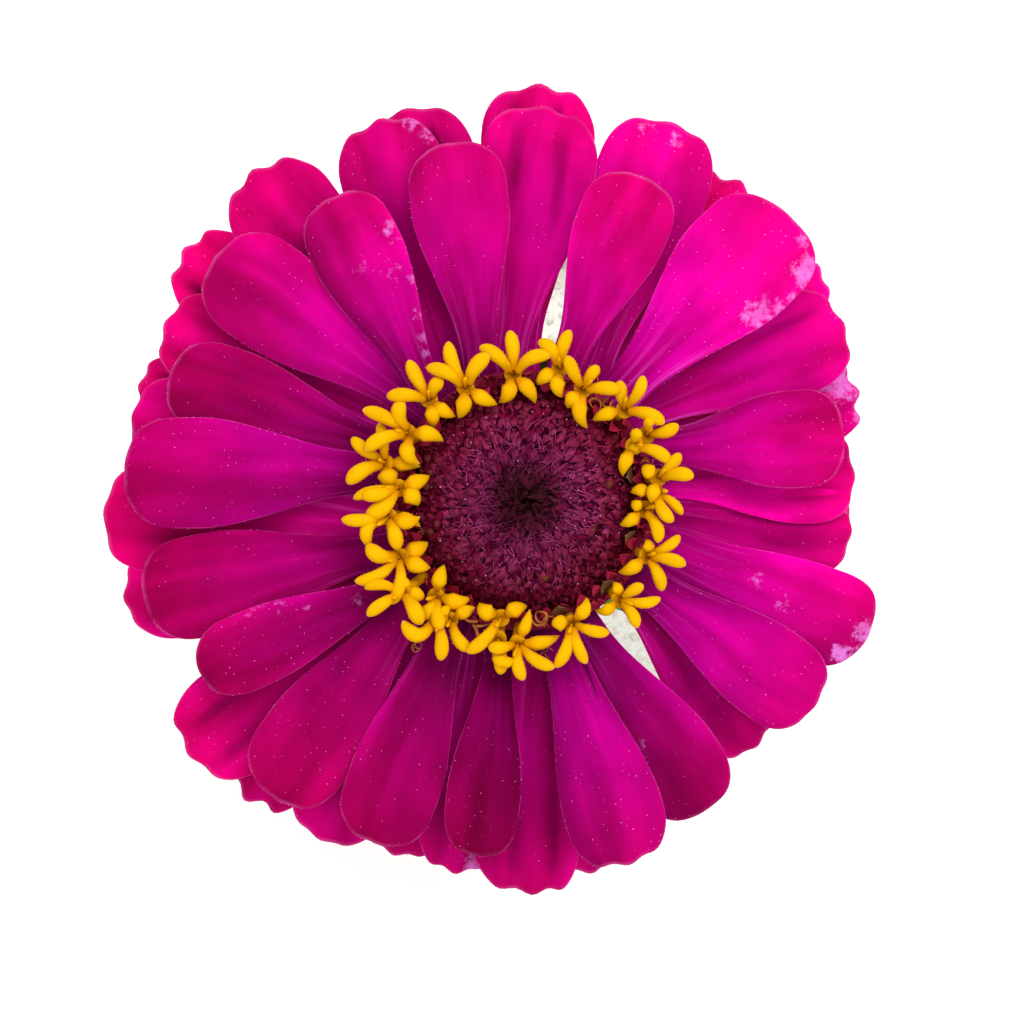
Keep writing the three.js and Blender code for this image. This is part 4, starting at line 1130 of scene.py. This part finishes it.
def make_pales():
    """A ring of upright scales between the disc and the open florets, a few with olive tips."""
    maroon, olive = Shell(), Shell()
    draw = random.Random(61)
    count, ring, foot = 36, 12.8, 2.4
    olive_at = [(11.9, 2.6), (11.7, -4.3), (9.1, -9.6), (3.8, -12.4)]
    places = []
    for i in range(count):
        turn = 2 * math.pi * (i + draw.uniform(-0.2, 0.2)) / count
        places.append((ring * math.cos(turn), ring * math.sin(turn), maroon, 1.0))
    places += [(x, y, olive, 1.5) for x, y in olive_at]
    u = np.linspace(0, 1, 8)[:, None]
    v = crowded(7)
    for x, y, shell, size in places:
        outward = math.atan2(y, x)
        tall = draw.uniform(3.2, 4.2) * (0.8 + 0.2 * size)
        half = 0.8 * size * round_off(u, 3) * (0.8 + 0.2 * u) + 0.05
        lean = -1.1 * u * u + 0.25 * v * v
        inward = np.hypot(x, y) + lean
        thick = 0.09 * round_off(v, 8) * round_off(u, 8)
        turn = outward + v * half / np.hypot(x, y)
        corners, faces = lens(*round_grids(inward, thick, turn, foot + u * tall))
        shell.add(corners, faces, along=lens_values(u + 0 * v))
    settle(maroon.build("disc_pales", SCALE, BLOOM_PLACE), "disc_maroon")
    settle(olive.build("disc_olive_pales", OLIVE, BLOOM_PLACE), "disc_maroon")


def add_lobe(shell, mouth, tip, width, bend, height, draw):
    """One lobe. Those towards the axis hang down to a point, the others rise and end blunt."""
    start = np.array([mouth[0], mouth[1], 0.0])
    end = np.array([tip[0], tip[1], 0.0])
    hangs = np.hypot(*tip) < np.hypot(*mouth) - 0.4
    reach = max(np.linalg.norm(end - start), 0.1)
    start = start + (end - start) / reach * min(0.75 if hangs else 0.5, 0.3 * reach)
    steps, sides = 24, 12
    curl = draw.choice((-1, 1)) * draw.uniform(0.1, 0.16 * reach) if abs(bend) < 0.1 else bend
    path = bent(start, end, curl, steps)
    t = np.linspace(0, 1, steps)
    if hangs:
        rise = 0.9 * draw.uniform(0.7, 1.3) * np.sin(np.pi * 0.62 * t) - 1.6 * draw.uniform(0.6, 1.2) * t**2.2
        base = 0.5 + 0.5 * smooth(t / 0.34)
        taper = (1 - np.clip((t - 0.36) / 0.64, 0, 1) ** 1.8) ** 0.85
    else:
        rise = 1.5 * draw.uniform(0.5, 1.3) * np.sin(np.pi * 0.66 * t) - draw.uniform(0.0, 1.0) * t**3
        base = 0.62 + 0.38 * smooth(t / 0.6)
        taper = (1 - np.clip((t - 0.6) / 0.4, 0, 1) ** 2.5) ** 0.6
    path[:, 2] = height - 0.2 + rise
    shape = np.maximum(base * taper, 0.05)
    turns = round_turns(sides)
    at_edge = np.abs(np.cos(turns)) ** 6
    teeth = 1 + 0.025 * np.sin(t * 60 + draw.uniform(0, 6))[:, None] * at_edge[None, :]
    widths = (width * 0.55 * shape)[:, None] * teeth
    heights = np.maximum(0.42 * width * shape, 0.05)
    points, faces, along = sweep(path, widths, heights, sides)
    # The edge values mark the sides of the lobe, where the fuzz grows and where painted shade darkens it
    edge = np.concatenate([np.tile(at_edge, steps), [0, 1]]) * 0.8
    shell.add(points, faces, along=0.16 + 0.84 * along, edge=edge)


def make_florets(finish):
    shell = Shell()
    for index, (mouth, lobes) in enumerate(FLORETS):
        draw = random.Random(f"floret {index}")
        height = FLORET["mouth_height"] + FLORET["uneven"] * (draw.random() - 0.5)
        out = np.array([mouth[0], mouth[1], 0.0])
        foot = out / np.linalg.norm(out) * FLORET["foot"]
        foot[2] = FLORET["foot_height"]
        top = np.array([mouth[0], mouth[1], height - 0.2])
        path = bent(foot, top, 0.0, 8, 0.3)
        radii = np.array([0.5, 0.52, 0.54, 0.55, 0.58, 0.66, 0.84, 0.96])[:, None]
        points, faces, along = sweep(path, radii, radii, 16, up=(0.3, 0.2, 0.1))
        # The pole at the top sinks into the mouth and takes the darkest brown: painted shade in the throat,
        # partly its own dark colour
        points[-1, 2] -= 0.55
        along = np.append(0.2 + 0.15 * along[:-1], 0.02)
        shell.add(points, faces, along=along, edge=0.0)
        for tip_x, tip_y, width, bend in lobes:
            level = height + draw.uniform(-0.25, 0.25)
            add_lobe(shell, mouth, (tip_x, tip_y), width, bend, level, draw)
        heading = math.degrees(math.atan2(mouth[1], mouth[0])) + draw.uniform(-45, 45)
        tip = top + around(heading, draw.uniform(0.6, 1.5), 1.3)
        path = bent(top - np.array([0, 0, 0.5]), tip, 0.05, 7, 0.1)
        radii = np.array([0.2, 0.21, 0.2, 0.22, 0.26, 0.24, 0.1])[:, None]
        points, faces, along = sweep(path, radii, radii, 8, up=(0.1, 0.3, 0.2))
        shell.add(points, faces, along=0.14 + 0.3 * along, edge=0.2)
    florets = settle(shell.build("disc_open_florets", finish, BLOOM_PLACE), "floret_yellow", "disc_florets")
    fuzz = hair_shape(length=0.2, radius=0.035, lean=0.2)
    strew_on(florets, "floret_fuzz", fuzz, FUZZ, ("edge", "along"),
             lambda own: (own["edge"] > 0.5) * np.clip(1.4 - 1.7 * own["along"], 0.1, 1),
             "floret_yellow", spacing=0.16, sizes=(0.5, 1.1), tilt=85, seed=25)
    drop(fuzz)


def make_withered(finish):
    """Shrivelled tips of spent florets, as small curls between the open ones."""
    shell = Shell()
    draw = random.Random(77)
    for x, y, size in [
        (8.1, 10.9, 1.3), (1.9, -13.4, 1.5), (-5.3, -13.3, 1.5), (6.9, 13.3, 1.2),
        (-17.2, 3.7, 0.9), (13.4, 3.6, 1.0), (2.2, -16.3, 0.8), (-11.9, -15.5, 0.8),
    ]:
        for _ in range(4):
            heading = draw.uniform(0, 360)
            start = np.array([x, y, 6.2]) + around(heading, 0.2 * size, draw.uniform(-0.3, 0.3))
            heading += draw.uniform(50, 120)
            end = np.array([x, y, 6.4]) + around(heading, size, draw.uniform(0.0, 0.8))
            path = bent(start, end, draw.uniform(-0.8, 0.8) * size, 8, 0.3)
            wide = np.linspace(0.13, 0.04, 8)[:, None] * size
            points, faces, along = sweep(path, wide, wide * 0.4, 6, up=(0.2, 0.1, 1))
            shell.add(points, faces, along=along)
    settle(shell.build("withered_tips", finish, BLOOM_PLACE), "floret_yellow")


# Involucre: the green cup and its overlapping bracts

def cup_radius(height):
    t = (height - RECEPTACLE["bottom"]) / (RECEPTACLE["top"] - RECEPTACLE["bottom"])
    spread = np.sin(np.pi / 2 * np.clip(t, 0, 1)) ** 0.85
    return lerp(RECEPTACLE["foot_radius"], RECEPTACLE["radius"], spread)


def add_bracts(shell, count, low, length, width, offset, radius_at, flare, draw, wide=()):
    """A row of rounded bracts on a cup with the radius `radius_at` of a height. Their tips lean out
    by `flare`, and those in `wide` lean out further."""
    u = np.linspace(0, 1, 12)[:, None]
    v = crowded(11)
    for i in range(count):
        azimuth = offset + 360 * i / count + draw.uniform(-4, 4)
        reach = length * draw.uniform(0.92, 1.05)
        end = 1 - 0.3 * (1 - round_off(v, 2))
        s = u * end
        teeth = 1 + 0.03 * np.sin(s * 60) * (np.abs(v) > 0.999)
        half = width / 2 * (0.75 + 0.25 * smooth(s / 0.4)) * teeth
        level = low + s * reach * 0.93
        base = radius_at(level)
        lean = flare + 1.3 * (i in wide)
        out = base + 0.15 + lean * s**3 + 0.35 * bump_at(s, 0.55, 0.3) * (1 - v * v)
        turn = np.radians(azimuth) + v * half / np.maximum(base, 3.0)
        thick = 0.28 * round_off(v, 6) * round_off(u, 16)
        points, faces = lens(*round_grids(out, thick, turn, level))
        dark_rim = 0.25 * smooth((np.abs(v) - 0.8) / 0.2) * (u > 0.5)
        shell.add(points, faces, along=lens_values(np.clip(u + dark_rim, 0, 1)))


def make_involucre(finish):
    shell = Shell()
    profile = [(0.0, RECEPTACLE["bottom"]), (RECEPTACLE["foot_radius"] - 0.5, RECEPTACLE["bottom"])]
    for share in np.linspace(0, 1, 16):
        level = lerp(RECEPTACLE["bottom"], RECEPTACLE["top"], share)
        profile.append((cup_radius(level), level))
    profile.append((0.0, RECEPTACLE["top"]))
    points, faces = lathe(profile, 64)
    shell.add(points, faces, along=0.3)
    draw = random.Random(9)
    # How many, height of the foot, width, azimuth of the first, flare, and which lean out further
    for count, low, width, offset, flare, wide in [
        (8, -15.9, 7.6, 10, 0.7, ()), (9, -13.6, 8.2, 11, 0.7, ()), (10, -11.4, 8.8, 5, 0.8, ()),
        (12, -9.6, 7.4, 84, 1.0, (0, 2, 5)),
    ]:
        add_bracts(shell, count, low, 7.6, width, offset, cup_radius, flare, draw, wide)
    settle(shell.build("involucre_bracts", finish, BLOOM_PLACE), "bract_green", "involucre")


# Stem, leaves and side shoot

STEM_TOP = BLOOM["height"] + RECEPTACLE["bottom"] - CLEARANCE


def stem_axis(height):
    t = np.clip((height - COMPOST_LEVEL) / (STEM_TOP - COMPOST_LEVEL), 0, 1)
    bow = STEM["bow"] * np.sin(np.pi * t) ** 2
    turn = math.radians(STEM["bow_azimuth"])
    x = bow * math.cos(turn) + BLOOM["x"] * smooth(t)
    y = bow * math.sin(turn) + BLOOM["y"] * smooth(t)
    return np.stack([x + 0 * height, y + 0 * height, height + 0.0], axis=-1)


def stem_radius(height):
    t = (height - STEM["bottom"]) / (STEM_TOP - STEM["bottom"])
    taper = lerp(STEM["root_radius"], STEM["top_radius"], smooth(t))
    swell = sum(bump_at(height, pair[0], STEM["node_length"]) for pair in LEAF_PAIRS)
    neck = smooth((height - STEM_TOP + STEM["neck_length"]) / STEM["neck_length"])
    return taper + STEM["node_swell"] * swell + (STEM["neck_radius"] - STEM["top_radius"]) * neck


def make_stem(finish):
    heights = np.concatenate([[STEM["bottom"]], np.linspace(COMPOST_LEVEL - 4, STEM_TOP + 1.2, 110)])
    path = stem_axis(heights)
    sides = 24
    ribs = 1 + 0.03 * np.cos(round_turns(sides) * 6)
    radii = stem_radius(np.minimum(heights, STEM_TOP))[:, None] * ribs[None, :]
    points, faces, _ = sweep(path, radii, radii, sides, up=(0.01, 1, 0))
    shell = Shell()
    shell.add(points, faces)
    settle(shell.build("stem_green", finish), "stem_green", "stem")
    above = np.repeat((heights > COMPOST_LEVEL + 1).astype(float), sides)
    centres = np.repeat(path, sides, axis=0)
    aim = points[:-2] - centres + np.array([0, 0, 0.8])
    aim = np.concatenate([aim, [[0, 0, 1.0], [0, 0, 1.0]]])
    surface = host("stem for hairs", points, faces, np.concatenate([above, [0, 0]]), aim)
    hair = hair_shape(length=1.3, radius=0.05, lean=0.25)
    hairs = strew("stem_hairs", surface, hair, HAIR, spacing=0.75, sizes=(0.5, 1.1), tilt=25, seed=8)
    settle(hairs, "stem_green")
    drop(surface, hair)


def leaf_grids(start, azimuth, size, seed, rows, columns):
    """Middle surface of a leaf, with its own values: the CAD leaf's curve, with nerves sunk in."""
    length, width, slope_out, slope_in = size
    draw = random.Random(f"leaf {seed}")
    first = math.radians(slope_out)
    turn = math.radians(slope_in) - first
    outward, side = around(azimuth, 1), around(azimuth + 90, 1)
    u = np.concatenate([np.linspace(0, 0.99, rows), [1.0]])[:, None]
    v = crowded(columns)
    slope = first + turn * u
    along = (np.sin(slope) - math.sin(first)) * (length / turn)
    up = (math.cos(first) - np.cos(slope)) * (length / turn)
    outline = 1.333 * (0.3 + 2.2 * u) * (1 - u) ** 0.9 * (0.6 + 0.4 * smooth(u / 0.12))
    half = np.maximum(width / 2 * outline, LEAF["tip_width"] / 2 * (1 - u) + 0.02)
    phase = np.where(v > 0, 1.3, 0.0)
    wave = LEAF["wave"] * np.sin(u * 9 + seed * 2 + phase) * v * v * smooth(u * 3)
    scale = min(1.0, width / 20)
    wave = wave * scale
    midrib = bump_at(v, 0, 0.06)
    lateral = np.abs(np.abs(v) - 0.5 * (1 - 0.55 * u)) / 0.05
    laterals = np.exp(-(lateral**2)) * smooth(u / 0.1) * (1 - smooth((u - 0.75) / 0.2))
    slant = u * 12 - np.abs(v) * 3.0
    minor = np.exp(-((np.mod(slant, 1.0) - 0.5) / 0.14) ** 2) * (1 - smooth((np.abs(v) - 0.86) / 0.12))
    minor = minor * (1 - midrib) * 0.7
    nerve = np.clip(midrib + 0.8 * laterals + 0.45 * minor, 0, 1)
    puff = ripple(draw, u, v * 0.4, 3.0) * 0.14
    relief = puff - 0.45 * midrib - 0.22 * laterals - 0.14 * minor
    lift = LEAF["fold"] * np.abs(v) * half + wave + scale * relief
    place = (
        np.asarray(start) + outward * (along - lift * np.sin(slope))[..., None]
        + side * (v * half)[..., None]
    )
    place[..., 2] = start[2] + up + lift * np.cos(slope)
    rim = smooth((np.abs(v) - 0.95) / 0.05) + 0 * u
    return place, u, v, nerve, rim


def add_leaf(shell, start, azimuth, size, seed, rows=48, columns=25):
    place, u, v, nerve, rim = leaf_grids(start, azimuth, size, seed, rows, columns)
    edge = round_off(v, 10) * round_off(u, 50)
    thick = LEAF["thickness"] * edge / 2
    upper, under = place.copy(), place.copy()
    upper[..., 2] += thick
    under[..., 2] -= thick + 0.25 * bump_at(v, 0, 0.07) * (1 - u) * edge
    points, faces = lens(upper, under)
    ones = np.ones_like(nerve)
    shell.add(points, faces, nerve=lens_values(nerve), rim=lens_values(rim),
              under=lens_values(0 * ones, ones))
    return place, rim


def make_leaves(finish):
    hair = hair_shape(length=1.0, radius=0.04, lean=0.5)
    inset = 1.0
    for level, (height, azimuth, length, width, slope_out, slope_in) in enumerate(LEAF_PAIRS):
        for letter, turned_by in (("a", 0), ("b", 180)):
            seed = level * 2 + (1 if turned_by else 0)
            lean = (LEAF["solid"] / 2 + LEAF["seat"]) * math.sin(math.radians(slope_out))
            heading = azimuth + turned_by
            gap = stem_radius(height) + CLEARANCE + lean
            start = stem_axis(height) + around(heading, gap - inset)
            start[2] -= inset * math.tan(math.radians(slope_out)) * 0.8
            shell = Shell()
            size = (length + inset, width, slope_out, slope_in)
            place, rim = add_leaf(shell, start, heading, size, seed)
            name = f"leaf_{level + 1}{letter}"
            settle(shell.build(f"{name}_blade", finish), "leaf_green", name)
            faces = grid_faces(np.arange(rim.size).reshape(rim.shape))
            raised = place + np.array([0, 0, LEAF["thickness"] / 2])
            surface = host("leaf for hairs", raised, faces, 0.12 + 0.88 * rim, around(heading, 0.4, 1.0))
            hairs = strew(f"{name}_hairs", surface, hair, HAIR,
                          spacing=0.55, sizes=(0.3, 0.75), tilt=35, seed=60 + seed)
            settle(hairs, "leaf_green")
            drop(surface)
    drop(hair)


def bud_radius(t):
    return BUD["radius"] * np.sin(np.pi * (0.06 + 0.86 * np.clip(t, 0, 1) ** 0.85)) ** 0.7


def make_side_shoot(leaf_green, bract_green):
    height, azimuth = SHOOT["height"], SHOOT["azimuth"]
    slope = math.radians(SHOOT["slope"])
    axis = stem_axis(height)
    start = axis + around(azimuth, stem_radius(height) + 2 * CLEARANCE + 1)
    end = start + around(azimuth, math.cos(slope) * SHOOT["length"], math.sin(slope) * SHOOT["length"])
    bend = (start + end) / 2 + around(azimuth, 2.5, -1.5)
    end = end + np.array([0, 0, 1.5])
    steps = 24
    path = curve(start, bend, end, steps)
    root = axis + np.array([0, 0, -2.0])
    path = np.concatenate([bent(root, path[0], 0, 4)[:-1], path])
    radii = np.full((len(path), 1), SHOOT["radius"]) * np.linspace(1.0, 1.25, len(path))[:, None]
    shell = Shell()
    points, faces, _ = sweep(path, radii, radii, 14, up=(0.2, 0.1, 0))
    shell.add(points, faces, along=0.2)
    profile = [(0.0, -0.4)]
    for share in np.linspace(0, 1, 20):
        profile.append((bud_radius(share) * 0.96, share * BUD["height"]))
    profile.append((0.0, BUD["height"]))
    points, faces = lathe(profile, 40)
    shell.add(points + end, faces, along=0.5)
    draw = random.Random(31)
    bracts = Shell()
    # How many, height of the foot, width
    for count, low, width in [(6, 0.1, 5.4), (7, 1.7, 5.2), (8, 3.4, 4.8), (7, 5.0, 4.2)]:
        add_bracts(bracts, count, low, 4.9, width, draw.uniform(0, 50),
                   lambda level: bud_radius(level / BUD["height"]), -0.1, draw)
    points = np.concatenate(bracts.points) + end
    shell.add(points, bracts.faces, along=np.concatenate(bracts.values["along"]))
    settle(shell.build("side_shoot_bud", bract_green), "bract_green", "side_shoot")
    leaves = Shell()
    at = path[3 + int(SHOOT["leaf_at"] * (steps - 1))]
    for i, turn in enumerate((85, -95)):
        size = (SHOOT["leaf_length"], SHOOT["leaf_width"], 52, -10)
        add_leaf(leaves, at, azimuth + turn, size, 17 + i, 28, 13)
    settle(leaves.build("side_shoot_leaves", leaf_green), "bract_green", "side_shoot")


# Pot and compost

def inner_wall(z):
    foot = POT["base_radius"] - POT["wall"]
    return foot + (POT["mouth_radius"] - foot) * (z - POT["floor"]) / (POT["height"] - POT["floor"])


def rounded(corners, radius, steps):
    """The closed outline through `corners`, with each corner rounded."""
    outline = []
    count = len(corners)
    for i in range(count):
        here = np.array(corners[i], float)
        before = np.array(corners[i - 1], float) - here
        after = np.array(corners[(i + 1) % count], float) - here
        cut = min(radius, 0.45 * np.linalg.norm(before), 0.45 * np.linalg.norm(after))
        first = here + before / np.linalg.norm(before) * cut
        last = here + after / np.linalg.norm(after) * cut
        outline += curve(first, here, last, steps).tolist()
    outline.append(outline[0])
    return outline


def make_pot(finish):
    height, rim, step = POT["height"], POT["rim_radius"], POT["rim_step"]
    under = height - POT["rim_height"]
    foot = POT["base_radius"] - POT["wall"]
    corners = [
        (POT["drain_radius"], 0), (POT["base_radius"], 0), (rim - step, under), (rim, under),
        (rim, height), (POT["mouth_radius"], height), (foot, POT["floor"]),
        (POT["drain_radius"], POT["floor"]),
    ]
    outline = rounded(corners, radius=1.8, steps=6)
    dense = []
    for (r0, z0), (r1, z1) in zip(outline[:-1], outline[1:]):
        parts = max(1, int(math.hypot(r1 - r0, z1 - z0) / 3))
        dense += [(lerp(r0, r1, k / parts), lerp(z0, z1, k / parts)) for k in range(parts)]
    dense.append(dense[0])

    def thrown(radius, height, turns):
        rings = 0.07 * np.sin(height * 1.9) + 0.12 * np.sin(2 * turns + height * 0.02)
        return radius + rings * (radius > 20), height + 0 * turns

    points, faces = lathe(dense, 128, thrown)
    shell = Shell()
    shell.add(points, faces)
    settle(shell.build("clay_pot", finish), "pot_clay", "pot")


def make_compost(finish):
    rim = inner_wall(COMPOST_LEVEL) - 0.1
    foot = POT["base_radius"] - POT["wall"]
    profile = [(0.0, POT["floor"] + CLEARANCE), (foot - 1.5, POT["floor"] + CLEARANCE)]
    profile += [(inner_wall(z) - 0.3, z) for z in (12, 40, 70)]
    rings = 46
    profile += [(lerp(rim, 1.0, i / rings), COMPOST_LEVEL) for i in range(rings)]
    profile.append((0.0, COMPOST_LEVEL))
    draw = random.Random(2)

    def crumbly(radius, height, turns):
        x, y = radius * np.cos(turns), radius * np.sin(turns)
        clods = 0.45 * ripple(draw, x * 0.05, y * 0.05, 1.0, 6) + 0.4 * ripple(draw, y * 0.2, x * 0.2, 1.0, 6)
        mound = 1.2 * np.exp(-((radius / 9) ** 2))
        on_top = height > COMPOST_LEVEL - 0.01
        return radius + 0 * turns, height + on_top * (clods + mound)

    points, faces = lathe(profile, 160, crumbly)
    shell = Shell()
    shell.add(points, faces)
    settle(shell.build("compost_body", finish), "compost", "compost")
    top = (points[:, 2] > COMPOST_LEVEL - 2) & (np.hypot(points[:, 0], points[:, 1]) > 3.5)
    surface = host("compost for grit", points, faces, top.astype(float), (0, 0, 1.0))
    draw = random.Random(14)
    for name, spacing, sizes, seed in [("coarse", 3.1, (0.7, 1.3), 3), ("fine", 1.9, (0.35, 0.75), 4)]:
        stone = pebble_shape("stone shape", GRIT, draw)
        stones = strew(f"grit_{name}", surface, stone, GRIT, spacing, sizes, tilt=60, seed=seed)
        settle(stones, "compost")
        drop(stone)
    drop(surface)


# Camera, lights and floor

def make_camera():
    camera = bpy.data.cameras.new("camera")
    camera.sensor_width = CAMERA["sensor"]
    distance = CAMERA["height"] - BLOOM["height"]
    camera.lens = CAMERA["sensor"] * distance / CAMERA["frame_at_bloom"]
    camera.clip_start = 0.01
    obj = show(bpy.data.objects.new("camera", camera))
    obj.location = (0, 0, CAMERA["height"] * MM)
    bpy.context.scene.camera = obj


def make_light():
    world = bpy.data.worlds.new("soft surroundings")
    world.use_nodes = True
    sky = world.node_tree.nodes["Background"]
    sky.inputs["Color"].default_value = (1, 1, 1, 1)
    sky.inputs["Strength"].default_value = LIGHT["surroundings"]
    bpy.context.scene.world = world
    lamp = bpy.data.lights.new("soft panel", "AREA")
    lamp.shape = "DISK"
    lamp.size = LIGHT["panel_size"]
    lamp.energy = LIGHT["panel_power"]
    obj = show(bpy.data.objects.new("soft panel", lamp))
    obj.location = LIGHT["panel_at"]
    aim = Vector((0, 0, 0.2)) - obj.location
    obj.rotation_euler = aim.to_track_quat("-Z", "Y").to_euler()
    bpy.context.scene.view_settings.view_transform = "Standard"
    bpy.context.scene.view_settings.look = "None"


def make_floor(finish):
    mesh = bpy.data.meshes.new("floor")
    corners = [(x * FLOOR_HALF, y * FLOOR_HALF, 0) for x, y in ((-1, -1), (1, -1), (1, 1), (-1, 1))]
    mesh.from_pydata(corners, [], [(0, 1, 2, 3)])
    mesh.materials.append(finish)
    show(bpy.data.objects.new("floor", mesh))


make_camera()
make_light()
STREW = strewing_tree()
HAIR = two_tone("plant hair", 0.5, 0.3, 300.0, 1.0, (0.3, 190, 204, 160), (0.7, 226, 232, 206))
SPECK = two_tone("petal speck", 0.6, 0.2, 500.0, 1.0, (0.35, 226, 90, 178), (0.65, 250, 176, 226))
CILIA = two_tone("petal cilia", 0.6, 0.1, 300.0, 2.0, (0.35, 206, 40, 130), (0.65, 238, 128, 190))
FUZZ = two_tone("floret fuzz", 0.6, 0.03, 300.0, 1.0, (0.3, 206, 134, 0), (0.7, 224, 176, 40))
# Painted glints of light, strewn on the disc
GLINT = two_tone("painted glint white", 0.3, 0.5, 300.0, 1.0, (0.35, 214, 168, 208), (0.65, 250, 240, 250))
FLOOR = two_tone("pale floor", 0.9, 0.1, 6.0, 2.0,
                 (0.3, 0.95, 0.95, 0.95, 1), (0.7, 0.97, 0.97, 0.97, 1))
SCALE = scale_finish()
FRINGE = fringe_finish()
BUD_BROWN = bud_finish()
OLIVE = pale_finish()
GRIT = grit_finish()
leaf_green, bract_green = leaf_finish(), bract_finish()

make_floor(FLOOR)
make_pot(clay_finish())
make_compost(compost_finish())
make_stem(stem_finish())
make_leaves(leaf_green)
make_side_shoot(leaf_green, bract_green)
make_involucre(bract_green)
make_specks(make_rays(petal_finish()))
make_dome(disc_finish())
make_disc_cover()
make_pales()
make_florets(yellow_finish())
make_withered(dry_finish())
